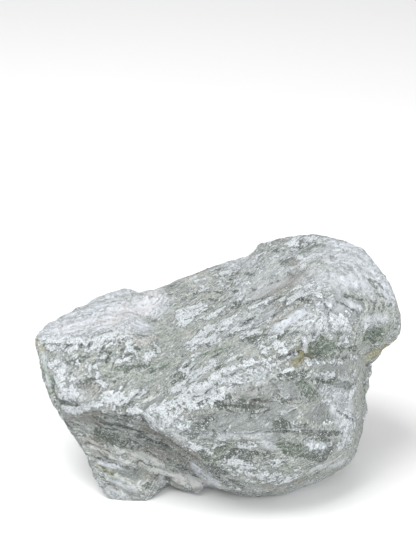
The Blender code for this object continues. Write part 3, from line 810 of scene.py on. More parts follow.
# Dust; the marks low in front, under the arch between the foot and the belly, are painted light on a place in
# shade.
DUST_AND_PAINTED_LIGHT = (
    *strokes(0.7, 0.8, (-40, -29, 18, -37, -30, 17)),
    *strokes(1.0, 0.6, (-30, -28, 18, -22, -28, 12)),
    *strokes(1.4, 0.4, (-43, -30, 8, -34, -31, 6), (-5, -48, 43, 20, -48, 42)),
    *strokes(
        1.4, 0.6, (-71, -10, 57, -68, -18, 47), (9, 21, 79, 13, 20, 82), (17, -48, 39, 22, -47, 36),
        (41, -36, 56, 51, -26, 49),
    ),
    *strokes(
        1.4, 0.8, (-48, -29, 16, -40, -30, 15), (52, -15, 82, 56, -13, 80), (59, -15, 72, 64, -12, 71),
    ),
    *strokes(1.4, 1.0, (38, -22, 87, 42, -22, 86)),
    *strokes(
        2.0, 0.4, (-8, -17, 65, -1, -17, 69), (3, -36, 11, 18, -37, 9), (31, -33, 80, 50, -23, 74),
        (35, -43, 34, 41, -38, 31),
    ),
    *strokes(
        2.0, 0.6, (-9, -31, 12, -2, -32, 9), (4, 5, 75, 16, 8, 82), (7, 29, 77, 14, 22, 83),
        (58, -15, 75, 67, -8, 72),
    ),
    *strokes(2.0, 0.8, (36, -42, 34, 41, -38, 31), (45, 19, 93, 47, 4, 91)),
    *strokes(2.0, 1.0, (-22, -27, 8, -15, -28, 8), (39, -23, 87, 43, -22, 85)),
    *strokes(2.8, 0.6, (-16, -28, 9, -5, -27, 5), (39, -35, 18, 52, -23, 13)),
    *strokes(2.8, 0.8, (-9, -34, 17, -1, -31, 7), (23, -28, 79, 33, -24, 84)),
    *strokes(2.8, 1.0, (-9, -33, 16, -1, -33, 9)),
    *strokes(2.8, 1.3, (-9, -36, 19, -1, -36, 12)),
    *strokes(4.0, 0.4, (4, -43, 64, 17, -42, 66), (33, -5, 89, 43, -2, 91)),
    *strokes(4.0, 0.6, (62, 6, 86, 69, 0, 77)),
    *strokes(4.0, 0.8, (-70, 8, 61, -60, 20, 62)),
    *strokes(4.0, 1.0, (47, 17, 93, 58, 14, 92), (54, 17, 93, 63, 12, 88), (62, 9, 88, 69, 3, 80)),
    *strokes(
        5.6, 0.4, (-64, -18, 53, -57, -27, 47), (-23, -45, 45, -13, -47, 43), (2, -14, 74, 18, -16, 80),
        (35, -31, 81, 50, -17, 83),
    ),
    *strokes(5.6, 0.8, (-58, 20, 62, -34, 27, 67), (38, -10, 89, 52, -5, 88), (48, -29, 51, 51, -28, 32)),
    *strokes(8.0, 0.8, (47, 9, 92, 60, 0, 84)),
    *strokes(8.0, 1.0, (-69, 3, 62, -29, 15, 66), (-64, -1, 63, -36, -2, 66)),
    *strokes(11.0, 0.4, (13, 7, 80, 41, 16, 92)),
)
PINK_PATCHES = (
    *strokes(
        1.4, 0.6, (-50, -28, 23, -34, -29, 20), (-14, 28, 72, -6, 29, 74), (20, -24, 78, 22, -23, 79),
        (20, -22, 78, 25, -22, 81),
    ),
    *strokes(1.4, 1.0, (-28, -10, 64, -25, -7, 63)),
    *strokes(2.0, 0.6, (-40, -11, 66, -36, -8, 67), (-10, 20, 72, -5, 23, 74), (31, 10, 89, 34, 4, 89)),
    *strokes(2.0, 1.0, (-33, -13, 65, -30, -13, 64)),
    *strokes(2.8, 0.6, (-67, -1, 63, -49, 1, 66), (-65, 2, 63, -41, 2, 67), (-62, -2, 63, -48, -2, 66)),
    *strokes(2.8, 0.8, (-19, -28, 8, 2, -34, 9)),
    *strokes(4.0, 0.4, (-49, 2, 66, -39, 17, 67)),
    *strokes(5.6, 1.0, (-44, 0, 66, -28, 18, 67)),
)
print("slip faces:", len(FACETS), "dust:", len(DUST_AND_PAINTED_LIGHT), "pink talc:", len(PINK_PATCHES))

# %% [markdown]
# ## Stains and calm ground
#
# Brown and rust are what iron leaves in the rock, and green is where it
# holds more chlorite.  Plain patches are calm ground that was never struck,
# so they hold the bruising back.

# %% Stains and plain patches
BROWN_PATCHES = (
    *strokes(0.7, 0.6, (-51, -28, 18, -36, -30, 17)),
    *strokes(0.7, 0.8, (10, -8, 76, 13, -11, 77)),
    *strokes(1.0, 0.8, (-33, -30, 15, -25, -28, 8)),
    *strokes(1.4, 0.6, (28, 11, 88, 31, 8, 88), (35, -3, 88, 38, -3, 90), (58, -13, 41, 60, -5, 22)),
    *strokes(1.4, 1.0, (43, 5, 91, 46, 10, 92)),
    *strokes(
        2.0, 0.4, (7, -45, 60, 21, -44, 60), (13, -46, 55, 18, -46, 53), (17, -41, 14, 33, -34, 10),
        (20, -11, 80, 34, -23, 85),
    ),
    *strokes(2.0, 0.6, (-62, -24, 34, -48, -29, 34), (-54, -26, 26, -46, -28, 24)),
    *strokes(
        2.0, 0.8, (-54, -29, 38, -47, -33, 42), (-54, -26, 25, -48, -28, 24), (18, -40, 12, 42, -29, 13),
    ),
    *strokes(2.0, 1.0, (-54, -27, 25, -50, -27, 25), (-54, -26, 25, -50, -27, 25)),
    *strokes(2.8, 0.4, (-9, -38, 21, -1, -34, 10), (33, -35, 13, 49, -28, 18), (40, -37, 21, 52, -21, 8)),
    *strokes(2.8, 0.6, (-53, -27, 50, -49, -28, 51)),
    *strokes(4.0, 0.6, (-28, -28, 21, -9, -34, 17)),
    *strokes(4.0, 1.0, (-27, -34, 35, -11, -45, 32)),
    *strokes(5.6, 0.8, (17, -1, 81, 32, -2, 87)),
)
PLAIN_PATCHES = (
    *strokes(1.0, 0.8, (-15, -47, 42, -12, -47, 44), (-2, -39, 65, 5, -39, 68)),
    *strokes(1.4, 0.8, (10, -47, 53, 19, -46, 53), (26, -26, 81, 33, -25, 84), (41, -36, 56, 51, -26, 49)),
    *strokes(
        1.4, 1.0, (-72, -9, 58, -70, -12, 55), (-70, -14, 53, -68, -19, 48), (-1, -39, 66, 4, -40, 68),
        (1, -39, 66, 7, -40, 69),
    ),
    *strokes(2.0, 0.6, (-13, 15, 71, -2, 11, 73)),
    *strokes(
        2.0, 0.8, (-46, -21, 58, -31, -25, 57), (-23, -45, 45, -16, -47, 42), (6, -45, 60, 20, -44, 59),
    ),
    *strokes(
        2.0, 1.0, (-48, -28, 17, -39, -30, 15), (-43, -30, 9, -34, -31, 5), (-42, -30, 14, -33, -30, 11),
        (-32, -29, 18, -21, -28, 11), (-5, -24, 65, 2, -28, 69), (59, -17, 66, 67, -9, 62),
        (68, -6, 73, 71, -7, 65),
    ),
    *strokes(2.8, 0.8, (-1, -48, 48, 18, -48, 47), (17, -44, 61, 31, -40, 64)),
    *strokes(
        2.8, 1.0, (-52, -28, 50, -48, -29, 51), (-23, -24, 57, -15, -19, 62), (5, -27, 71, 12, -35, 72),
    ),
    *strokes(4.0, 0.8, (22, -46, 53, 38, -40, 48)),
    *strokes(
        4.0, 1.0, (-42, -24, 56, -24, -28, 55), (-22, 6, 66, -19, -4, 64), (-20, -11, 62, -13, -9, 65),
        (18, -1, 81, 24, -5, 83),
    ),
)
RUST_PATCHES = (
    *strokes(0.6, 0.6, (-47, -30, 9, -44, -30, 7)),
    *strokes(0.6, 0.7, (-50, -28, 15, -43, -30, 12)),
    *strokes(0.7, 0.6, (-43, -30, 6, -38, -31, 5)),
    *strokes(0.8, 1.0, (34, -37, 71, 35, -37, 70)),
    *strokes(0.8, 1.2, (-74, -6, 60, -71, -9, 58)),
    *strokes(1.1, 1.3, (32, -37, 71, 34, -36, 72)),
    *strokes(1.2, 1.0, (-74, -7, 59, -70, -9, 58)),
    *strokes(1.3, 1.0, (29, -39, 69, 32, -38, 70)),
    *strokes(1.5, 1.0, (31, -37, 73, 37, -35, 72)),
    *strokes(1.7, 1.1, (61, -10, 57, 65, -8, 58)),
    *strokes(1.9, 1.3, (61, -9, 55, 67, -7, 59)),
    *strokes(2.1, 1.0, (64, -8, 57, 71, -5, 60)),
    *strokes(2.6, 1.3, (62, -7, 54, 67, -4, 56)),
)
GREEN_PATCHES = (
    *strokes(1.4, 0.8, (-6, -26, 65, 3, -27, 69)),
    *strokes(1.4, 1.0, (4, -48, 36, -4, -46, 29)),
    *strokes(1.4, 1.6, (-71, -10, 57, -69, -13, 55)),
    *strokes(2.0, 0.4, (-41, -30, 13, -33, -30, 11), (33, -42, 25, 40, -35, 18)),
    *strokes(
        2.0, 0.6, (-49, -27, 28, -43, -28, 26), (-24, -10, 62, -17, -7, 64), (-24, -5, 62, -21, -8, 62),
        (34, 16, 91, 44, 17, 93),
    ),
    *strokes(2.0, 0.8, (58, -14, 52, 61, -3, 35)),
    *strokes(
        2.0, 1.0, (-72, -8, 59, -70, -12, 56), (-71, -16, 49, -68, -20, 45), (38, -33, 74, 43, -31, 70),
    ),
    *strokes(
        2.0, 1.3, (-72, -12, 54, -70, -17, 49), (-70, -14, 53, -67, -18, 49), (37, -34, 72, 44, -29, 71),
    ),
    *strokes(
        2.8, 0.6, (-43, -24, 56, -27, -26, 55), (-27, -23, 56, -17, -22, 60), (-4, -26, 66, 4, -27, 70),
        (26, -45, 26, 42, -31, 15),
    ),
    *strokes(2.8, 0.8, (-2, -47, 32, 5, -48, 39), (24, -47, 37, 34, -43, 32), (33, -41, 61, 38, -39, 55)),
    *strokes(2.8, 1.0, (-73, -9, 57, -70, -13, 54), (36, -34, 75, 44, -28, 73), (61, -15, 64, 64, -12, 65)),
    *strokes(4.0, 0.8, (58, -17, 69, 67, -10, 68)),
)
print("stains:", len(BROWN_PATCHES + RUST_PATCHES + GREEN_PATCHES), "plain patches:", len(PLAIN_PATCHES))

# %% [markdown]
# ## Pale strips and open cracks
#
# A pale strip is a thin seam of talc along the grain; two strips under the
# arch between the foot and the belly are painted light, lightening a place in
# shade.  A crack is a line as well, and the material draws it from each
# point's height above the line.

# %% Strips and cracks
# Pale strips; the two under the arch between the foot and the belly are painted light on a place in shade.
PALE_STRIPS_AND_PAINTED_LIGHT = (
    *strokes(0.7, 0.6, (2, 4, 74, 11, 6, 79), (11, 2, 78, 18, 5, 82)),
    *strokes(
        0.7, 0.8, (-44, -29, 19, -36, -30, 17), (-38, -31, 10, -28, -31, 4), (-32, -31, 9, -24, -28, 6),
        (4, 5, 74, 18, 9, 83), (40, -34, 16, 50, -27, 19),
    ),
    *strokes(1.0, 0.4, (-9, -47, 49, -2, -48, 50), (1, -49, 42, 17, -48, 43)),
    *strokes(1.0, 0.6, (35, -40, 62, 51, -28, 37)),
    *strokes(
        1.0, 0.8, (-52, -27, 22, -34, -29, 18), (-43, -29, 23, -31, -28, 20), (-42, -30, 11, -28, -31, 3),
        (-31, -36, 50, -23, -36, 53),
    ),
    *strokes(1.0, 1.0, (-35, -29, 21, -23, -28, 14), (-24, -28, 14, -13, -28, 8)),
    *strokes(1.4, 0.6, (-57, -26, 26, -31, -28, 20)),
    *strokes(
        1.4, 1.0, (-31, -29, 16, -22, -28, 10), (-31, -28, 20, -23, -27, 15), (-21, -27, 8, -8, -28, 5),
        (-8, -28, 7, 3, -32, 6),
    ),
)
# Open cracks: start, end.
CRACKS = (
    ((32, -16, 85), (39, -21, 87)),
    ((39, -21, 87), (43, -22, 84)),
    ((47, -18, 85), (54, -15, 79)),
    ((19, -45, 56), (31, -43, 56)),
    ((24, -39, 72), (31, -36, 73)),
    ((32, -45, 43), (49, -31, 33)),
    ((20, -48, 44), (30, -46, 43)),
    ((-70, -8, 60), (-56, -12, 62)),
    ((-47, -33, 41), (-31, -38, 45)),
    ((-30, -37, 43), (-8, -45, 29)),
    ((-8, -45, 29), (2, -43, 18)),
    ((-32, -29, 18), (-21, -26, 10)),
    ((-50, -28, 19), (-34, -30, 14)),
    ((10, -16, 75), (13, -15, 76)),
    ((12, -5, 78), (20, -6, 81)),
    ((12, -23, 75), (22, -19, 80)),
    ((-6, -19, 66), (-1, -20, 68)),
    ((48, -30, 42), (54, -25, 35)),
)
print("pale strips:", len(PALE_STRIPS_AND_PAINTED_LIGHT), "cracks:", len(CRACKS))

# %% [markdown]
# ## Marks all round the stone
#
# The back and the ends are bruised and stained like the front.  Their marks
# could be listed one by one too, but a scrambled number does it well enough: it
# picks a point of the skin, and the mark runs along the grain from there.
# The ledges and lenses there get their crushed lip, shadow and smooth face.

# %% Marks on the back and the ends
MARKS = {
    "bruise": BRUISES,
    "dark": DARK_PATCHES,
    "slip": FACETS,
    "dust": DUST_AND_PAINTED_LIGHT,
    "pink": PINK_PATCHES,
    "brown": BROWN_PATCHES,
    "rust": RUST_PATCHES,
    "green": GREEN_PATCHES,
    "strip": PALE_STRIPS_AND_PAINTED_LIGHT,
    "plain": PLAIN_PATCHES,
    "crack": CRACKS,
}
# Scattered marks: count, seed, range of lengths, range of half widths, strength.
SCATTERED = {
    "bruise": (300, 301, (2.0, 18.0), (1.2, 4.4), 0.95),
    "dark": (240, 311, (1.0, 11.0), (0.9, 3.2), 1.0),
    "dust": (24, 321, (5.0, 20.0), (4.0, 9.0), 0.7),
    "pink": (12, 331, (3.0, 10.0), (2.0, 5.0), 0.7),
    "brown": (30, 341, (3.0, 14.0), (1.5, 5.0), 0.8),
    "rust": (5, 351, (1.0, 4.0), (0.9, 2.0), 1.0),
    "green": (40, 361, (2.0, 12.0), (2.0, 4.0), 0.7),
    "strip": (24, 371, (6.0, 18.0), (1.0, 1.6), 0.9),
    "plain": (24, 381, (6.0, 16.0), (3.0, 6.0), 1.0),
    "crack": (36, 391, (5.0, 16.0), (1.0, 1.0), 1.0),
}
FRONT = unit((0.0, -0.83, 0.55))  # the direction that the front and the top face
AWAY_FROM_FRONT = -0.03  # a scattered mark is kept where the cosine between skin and front is below this
# The crushed lip above a far ledge and the shadow below it: how far up, half width, strength.
LIP_MARK = (2.0, 2.2, 0.6)
SHADOW_MARK = (-1.4, 1.6, 0.45)
LENS_MARK = (0.7, 0.9)  # the slip face in a far lens: share of its half width, strength


def scattered_marks(count, seed, lengths, half_widths, strength):
    """Marks along the grain, centred on scrambled points of the skin that face away from the front.

    A mark is a point plus and minus half its length along the grain laid flat on the skin.
    """
    number = np.arange(count)
    place, along, across = (
        lattice_value(np.stack((number, number * 0, number * 0), axis=-1), seed + kind) for kind in range(3)
    )
    chosen = (place * (len(SKIN) - 1)).astype(int)
    chosen = chosen[SKIN_NORMALS[chosen] @ FRONT < AWAY_FROM_FRONT]
    middle, normal = SKIN[chosen], SKIN_NORMALS[chosen]
    flat = DRAWN_OUT - normal * (normal @ DRAWN_OUT)[:, None]
    flat /= np.linalg.norm(flat, axis=1, keepdims=True)
    half = 0.5 * (lengths[0] + (lengths[1] - lengths[0]) * along[:len(chosen)] ** 2)[:, None]
    width = half_widths[0] + (half_widths[1] - half_widths[0]) * across[:len(chosen)] ** 2
    ends = zip(middle - flat * half, middle + flat * half, width)
    return tuple((start, end, half_width, strength) for start, end, half_width in ends)


def ledge_marks(rise, half_width, strength):
    """One mark along each far ledge, moved up by a distance."""
    up = np.array((0.0, 0.0, rise))
    return tuple((start + up, end + up, half_width, strength) for start, end, _, _ in FAR_LEDGES)


for name, settings in SCATTERED.items():
    MARKS[name] += scattered_marks(*settings)
MARKS["bruise"] += ledge_marks(*LIP_MARK)
MARKS["dark"] += ledge_marks(*SHADOW_MARK)
MARKS["slip"] += tuple(
    (start, end, LENS_MARK[0] * half_width, LENS_MARK[1]) for start, end, half_width, _ in FAR_LENSES
)
print("marks in all:", {name: len(marks) for name, marks in MARKS.items()})

# %% [markdown]
# ## From marks to fields
#
# Each field is a number for every point: how strongly the marks of one kind
# cover it.  Noise frays the edges of the marks.  The slip faces come first,
# because they are calm and get less of the splintering, and the shape that
# this gives is what the cracks and the crests are measured on.

# %% Colour fields
SLIP_CALM = 0.7  # the share of the fine relief that a slip face lacks
MARK_EDGE = (1.5, 0.5)  # a mark fades in between these distances from its line, in half widths
CRACK_BAND = (2.4, 1.2)  # and what lies beside a crack between these, in mm
RAGGED = cloud(SKIN, size=4.0, octaves=3, seed=71)  # what frays the edges of the marks


def mark_field(name, ragged=0.0):
    """How strongly each point is covered by the marks of one name.

    A mark is a band round a line with a soft edge, and where marks overlap the strongest counts.
    """
    field = np.zeros(len(SKIN))
    for start, end, half_width, strength in MARKS[name]:
        _, distance, _ = line_place(SKIN, start, end)
        edge = distance / half_width + ragged * RAGGED
        field = np.maximum(field, strength * smooth_step(*MARK_EDGE, edge))
    return field


def smoothed(values, faces, passes):
    """Values averaged again and again over the squares that meet at each point."""
    count = len(values)
    share = np.bincount(faces.ravel(), minlength=count)
    for _ in range(passes):
        mean = values[faces].mean(axis=1)
        values = np.bincount(faces.ravel(), np.repeat(mean, 4), count) / share
    return values


def standing_out(points, passes):
    """How far each point stands out of the surface around it: above 0 on crests, below 0 in recesses."""
    around = np.stack([smoothed(points[:, axis], FACES, passes) for axis in range(3)], axis=1)
    return ((points - around) * point_normals(around, FACES)).sum(axis=1)


def nearest_crack(points, cracks):
    """Each point's height above its nearest crack, and a weight that is 1 beside the crack and fades away."""
    height = np.zeros(len(points))
    weight = np.zeros(len(points))
    for start, end, *_ in cracks:
        _, distance, above = line_place(points, start, end)
        beside = smooth_step(*CRACK_BAND, distance)
        nearer = beside > weight
        height = np.where(nearer, above, height)
        weight = np.where(nearer, beside, weight)
    return height, weight


SLIP = mark_field("slip", ragged=0.35)
BROWN = mark_field("brown", ragged=0.3)
REST = smooth_step(0.0, REST_FADE, SKIN[:, 2])
RELIEF = (MAIN_RELIEF + FINE_RELIEF * (1.0 - SLIP_CALM * SLIP)) * REST
SPLIT = SKIN + SKIN_NORMALS * RELIEF[:, None]
print("relief, mm:", RELIEF.min().round(2), "to", RELIEF.max().round(2))

# %% [markdown]
# ## Bruised and dark stone
#
# Each of these two fields is a sum: its marks, some noise, and how far the
# surface stands out, because a crest is struck first, and a recess is
# darkened as painted shade.
# Dark marks, slip faces, brown stains and calm ground hold the bruising back.
# The colour starts where the sum passes zero.

# %% Sums of marks, noise and shape
BRUISE_LEVEL = -0.55  # a higher level bruises more of the stone
DARK_LEVEL = -0.5  # a higher level darkens more of it
CREST_PASSES = 12  # rounds of averaging that separate crests and recesses from the surface around them
CREST_HEIGHT = 0.4  # a crest this high, in mm, counts in full
CREST = np.clip(standing_out(SPLIT, CREST_PASSES) / CREST_HEIGHT, -1.0, 1.0)
CRUMB = cloud(SKIN, size=2.4, octaves=2, seed=113)
SMEAR = cloud(along_grain(SKIN, 6.0, 2.6, 1.4), size=1.0, octaves=3, seed=127)
PATCHES = cloud(along_grain(SKIN, 15.0, 7.0, 5.0), size=1.0, octaves=3, seed=83)
SHADES = cloud(along_grain(SKIN, 12.0, 6.0, 3.5), size=1.0, octaves=3, seed=97)
BRUISE = (
    BRUISE_LEVEL
    + 1.0 * mark_field("bruise", ragged=0.3)
    + 0.55 * PATCHES
    + 0.7 * CRUMB
    + 0.6 * SMEAR
    + 0.35 * CREST
    - 0.8 * mark_field("dark")
    - 0.7 * SLIP
    - 0.5 * BROWN
    - 0.7 * mark_field("plain", ragged=0.3)
)
DARK = (
    DARK_LEVEL
    + 1.1 * mark_field("dark", ragged=0.3)
    + 0.5 * SHADES
    - 0.5 * SMEAR
    # a recess is made darker here: painted shade
    - 0.4 * CREST
    - 0.4 * SLIP
)
CRACK, BESIDE_CRACK = nearest_crack(SPLIT, MARKS["crack"])
FIELDS = {
    "bruise": BRUISE,
    "dark": DARK,
    "slip": SLIP,
    "dust": mark_field("dust", ragged=0.4),
    "pink": mark_field("pink", ragged=0.3),
    "brown": BROWN,
    "rust": mark_field("rust", ragged=0.4),
    "green": mark_field("green", ragged=0.3),
    "strip": mark_field("strip", ragged=0.2),
    "crack": CRACK,
    "beside_crack": BESIDE_CRACK,
}
for name, values in FIELDS.items():
    print(f"{name}: {np.mean(values > 0.0):.0%} of the points above 0")

# %% [markdown]
# ## The mesh
#
# The points and squares go into one mesh, with the fields as attributes.
# Displace modifiers could push the skin out too, but then the fields would
# not know the shape, and the solid's box would be no limit.


# %% Make the stone
def mesh_object(name, points, faces):
    """A smooth-shaded mesh object from points in millimetres and four-cornered faces."""
    mesh = bpy.data.meshes.new(name)
    mesh.from_pydata((points * MM).tolist(), [], faces.tolist())
    mesh.shade_smooth()
    made = bpy.data.objects.new(name, mesh)
    bpy.context.scene.collection.objects.link(made)
    return made


CRUST_RELIEF = 0.3  # crushed talc lies on the stone as a thin lumpy crust
CRUST_START, CRUST_FULL = -0.15, 0.35  # levels of the bruise between which the crust gains its height
LUMPY_CRUST = 0.7 + 0.6 * CRUMB
CRUST = CRUST_RELIEF * smooth_step(CRUST_START, CRUST_FULL, BRUISE) * LUMPY_CRUST * REST
POINTS = SPLIT + SKIN_NORMALS * CRUST[:, None]
POINTS = np.clip(POINTS, *(np.array(CAD_BOX) / MM))  # the fine relief stays within the solid's size

stone = mesh_object("raw_soapstone", POINTS, FACES)
for name, values in FIELDS.items():
    field = stone.data.attributes.new(name, "FLOAT", "POINT")
    field.data.foreach_set("value", values.astype(np.float32))
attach(stone, "root")
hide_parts("soapstone_block")
print("stone, mm:", np.ptp(POINTS, axis=0).round(1), "fields:", list(FIELDS))

# %% [markdown]
# ## Soapstone, as a material
#
# The ground is grey-green with fine flecks along the grain.  White bruising,
# dark chlorite with painted shade, and the stains lie over it.  That takes
# close to two hundred nodes, which would be slow to place one by one, so a
# helper adds them: each of its methods makes a node, feeds it, and gives back
# its output.


# %% Node helpers
class Nodes:
    """Adds nodes to one node tree.  A value can be a number or another node's output."""

    def __init__(self, tree):
        """Keep the tree that the nodes go into."""
        self.tree = tree

    def feed(self, socket, value):
        """Give an input a plain value, or link an output to it."""
        if isinstance(value, bpy.types.NodeSocket):
            self.tree.links.new(value, socket)
        else:
            socket.default_value = value

    def add(self, kind, **settings):
        """A node of the given kind; settings are its properties, or its input values by socket name."""
        made = self.tree.nodes.new(kind)
        for name, value in settings.items():
            if hasattr(made, name):
                setattr(made, name, value)
            else:
                self.feed(made.inputs[name.replace("_", " ")], value)
        return made

    def math(self, operation, first, second=0.0):
        """The result of a sum on two values."""
        made = self.add("ShaderNodeMath", operation=operation)
        self.feed(made.inputs[0], first)
        self.feed(made.inputs[1], second)
        return made.outputs[0]

    def plus(self, first, second):
        """first + second"""
        return self.math("ADD", first, second)

    def minus(self, first, second):
        """first - second"""
        return self.math("SUBTRACT", first, second)

    def times(self, first, second):
        """first x second"""
        return self.math("MULTIPLY", first, second)

    def most(self, first, second):
        """The larger of two values."""
        return self.math("MAXIMUM", first, second)

    def without(self, mask, share=1.0):
        """1 - share x mask"""
        return self.minus(1.0, mask if share == 1.0 else self.times(mask, share))

    def blend(self, *parts):
        """The sum of values, each times its share."""
        total = self.times(*parts[0])
        for part in parts[1:]:
            total = self.plus(total, self.times(*part))
        return total

    def dot(self, vector, direction):
        """How far a position lies along a fixed direction."""
        made = self.add("ShaderNodeVectorMath", operation="DOT_PRODUCT")
        self.feed(made.inputs[0], vector)
        made.inputs[1].default_value = direction
        return made.outputs["Value"]

    def cover(self, below, above, amount):
        """The colour above laid over the colour below by the amount."""
        made = self.add("ShaderNodeMix", data_type="RGBA")
        self.feed(made.inputs["Factor"], amount)
        for socket, colour in ((made.inputs[6], below), (made.inputs[7], above)):
            self.feed(socket, (*colour, 1.0) if isinstance(colour, tuple) else colour)
        return made.outputs[2]

    def ramp(self, value, low, high, **settings):
        """A value stretched so that low to high becomes 0 to 1."""
        made = self.add("ShaderNodeMapRange", **settings)
        for name, given in (("Value", value), ("From Min", low), ("From Max", high)):
            self.feed(made.inputs[name], given)
        return made.outputs[0]

    def tone(self, vector, scale, detail, low, high):
        """Noise over a position, stretched so that low to high becomes 0 to 1."""
        made = self.add("ShaderNodeTexNoise", Vector=vector, Scale=scale, Detail=detail, Roughness=0.8)
        return self.ramp(made.outputs[0], low, high)

    def field(self, name):
        """The value of one of the stone's fields."""
        return self.add("ShaderNodeAttribute", attribute_name=name).outputs["Fac"]

    def group(self, group, **values):
        """The outputs of a node group; values are its inputs by socket name."""
        made = self.add("ShaderNodeGroup", node_tree=group)
        for name, value in values.items():
            self.feed(made.inputs[name.replace("_", " ")], value)
        return made.outputs


def new_group(name, inputs, outputs):
    """An empty shader node group with named sockets: its nodes, what comes in and what goes out."""
    tree = bpy.data.node_groups.new(name, "ShaderNodeTree")
    for socket_name, value in inputs.items():
        kind = "NodeSocketVector" if isinstance(value, tuple) else "NodeSocketFloat"
        socket = tree.interface.new_socket(socket_name, in_out="INPUT", socket_type=kind)
        socket.default_value = value
    for socket_name, kind in outputs.items():
        tree.interface.new_socket(socket_name, in_out="OUTPUT", socket_type=kind)
    return Nodes(tree), tree.nodes.new("NodeGroupInput").outputs, tree.nodes.new("NodeGroupOutput").inputs


print("node helpers:", [name for name in vars(Nodes) if not name.startswith("_")])

# %% [markdown]
# ## A position along the grain
#
# The flecks of this rock are drawn out along its layers.  Noise is drawn out
# the same way when its position is counted in long steps along the grain and
# in short ones across it.  A Mapping node could do that for one bed, but the
# block has two that lie at different angles, so a group measures both.


# %% The grain group
def grain_group():
    """Measures a position in millimetres along, across and through the grain of the bed that it is in."""
    nodes, given, result = new_group(
        "along the grain",
        {"Position": (0.0, 0.0, 0.0), "Length": 1.0, "Width": 1.0, "Thickness": 1.0},
        {"Vector": "NodeSocketVector"},
    )
    joined = nodes.add("ShaderNodeCombineXYZ")
    height = nodes.dot(given["Position"], FOOT_TOP_NORMAL)
    in_foot = nodes.math("LESS_THAN", height, float(FOOT_TOP @ FOOT_TOP_NORMAL))
    sizes = (
        ("Length", DRAWN_OUT, FOOT_DRAWN_OUT / FOOT_STRETCH),
        ("Width", ACROSS, FOOT_ACROSS),
        ("Thickness", LAYER_NORMAL, FOOT_NORMAL),
    )
    for socket, (size, upper, lower) in zip(joined.inputs, sizes):
        in_bed = nodes.add("ShaderNodeMix")
        nodes.feed(in_bed.inputs["Factor"], in_foot)
        nodes.feed(in_bed.inputs["A"], nodes.dot(given["Position"], upper))
        nodes.feed(in_bed.inputs["B"], nodes.dot(given["Position"], lower))
        nodes.feed(socket, nodes.math("DIVIDE", in_bed.outputs[0], given[size]))
    nodes.feed(result["Vector"], joined.outputs[0])
    return nodes.tree


GRAIN_GROUP = grain_group()
print("grain group:", len(GRAIN_GROUP.nodes), "nodes")

# %% [markdown]
# ## A clumpy crust
#
# Crushed talc ends in a steep ragged edge with round clumps along it.  The
# fields are soft, with about a point for each millimetre, so this group adds
# noise and the domes of a Voronoi pattern to a field and cuts it steeply.

# %% The crust group
CRUST_FIELD = (-0.6, 0.7)  # a field counts no further than this, so that noise can always fray its edge
CRUST_FOOT = (-0.55, -0.1)  # levels between which the foot of a crust fades in
DOME_RADIUS = 0.45  # where the dome of a clump ends, in clumps from its middle


def crust_group():
    """Turns a soft field into a clumpy crust: the field plus noise and round clumps, with a steep edge.

    The mask is 1 on the crust, the foot is 1 in a narrow band just outside it.
    """
    nodes, given, result = new_group(
        "clumpy crust",
        {"Vector": (0.0, 0.0, 0.0), "Field": 0.0, "Raggedness": 1.0, "Clumps": 1.0, "Softness": 0.1},
        {"Mask": "NodeSocketFloat", "Foot": "NodeSocketFloat"},
    )
    flakes = nodes.add("ShaderNodeTexNoise", Vector=given["Vector"], Scale=0.75, Detail=3.0, Roughness=0.8)
    clumps = nodes.add("ShaderNodeTexVoronoi", Vector=given["Vector"], Scale=1.0)
    ragged = nodes.times(nodes.minus(flakes.outputs[0], 0.5), given["Raggedness"])
    domes = nodes.times(nodes.minus(DOME_RADIUS, clumps.outputs["Distance"]), given["Clumps"])
    field = nodes.math("MINIMUM", nodes.most(given["Field"], CRUST_FIELD[0]), CRUST_FIELD[1])
    level = nodes.plus(nodes.plus(field, ragged), domes)
    crust = nodes.ramp(
        level, nodes.times(given["Softness"], -1.0), given["Softness"], interpolation_type="SMOOTHSTEP"
    )
    near = nodes.ramp(level, *CRUST_FOOT, interpolation_type="SMOOTHSTEP")
    nodes.feed(result["Mask"], crust)
    nodes.feed(result["Foot"], nodes.minus(near, crust))
    return nodes.tree


CRUST_GROUP = crust_group()
print("crust group:", len(CRUST_GROUP.nodes), "nodes")

# %% [markdown]
# ## A split
#
# Where layers part there is a gap, dark with the shade in it, and a bright
# broken lip over it.  Both are thinner than the mesh could show, so they are
# drawn by colour and bump, from a height above the split in millimetres: the
# dark of the gap is painted shade.

# %% The split group
GAP_CORE = 0.3  # the share of a gap's width that is fully dark
LIP_RISE = (0.15, 0.35)  # mm above a split between which its lip brightens
LIP_FALL = (0.45, 0.9)  # and between which it fades again


def split_group():
    """Turns a height above a split, in millimetres, into a dark gap at zero and a bright lip over it."""
    nodes, given, result = new_group(
        "split",
        {"Height": 0.0, "Gap Width": 0.3},
        {"Gap": "NodeSocketFloat", "Lip": "NodeSocketFloat"},
    )
    soft = {"interpolation_type": "SMOOTHSTEP"}
    falling = {"To_Min": 1.0, "To_Max": 0.0, **soft}
    away = nodes.math("ABSOLUTE", given["Height"])
    gap = nodes.ramp(away, nodes.times(given["Gap Width"], GAP_CORE), given["Gap Width"], **falling)
    rise = nodes.ramp(given["Height"], *LIP_RISE, **soft)
    fall = nodes.ramp(given["Height"], *LIP_FALL, **falling)
    nodes.feed(result["Gap"], gap)
    nodes.feed(result["Lip"], nodes.times(rise, fall))
    return nodes.tree


SPLIT_GROUP = split_group()
print("split group:", len(SPLIT_GROUP.nodes), "nodes")
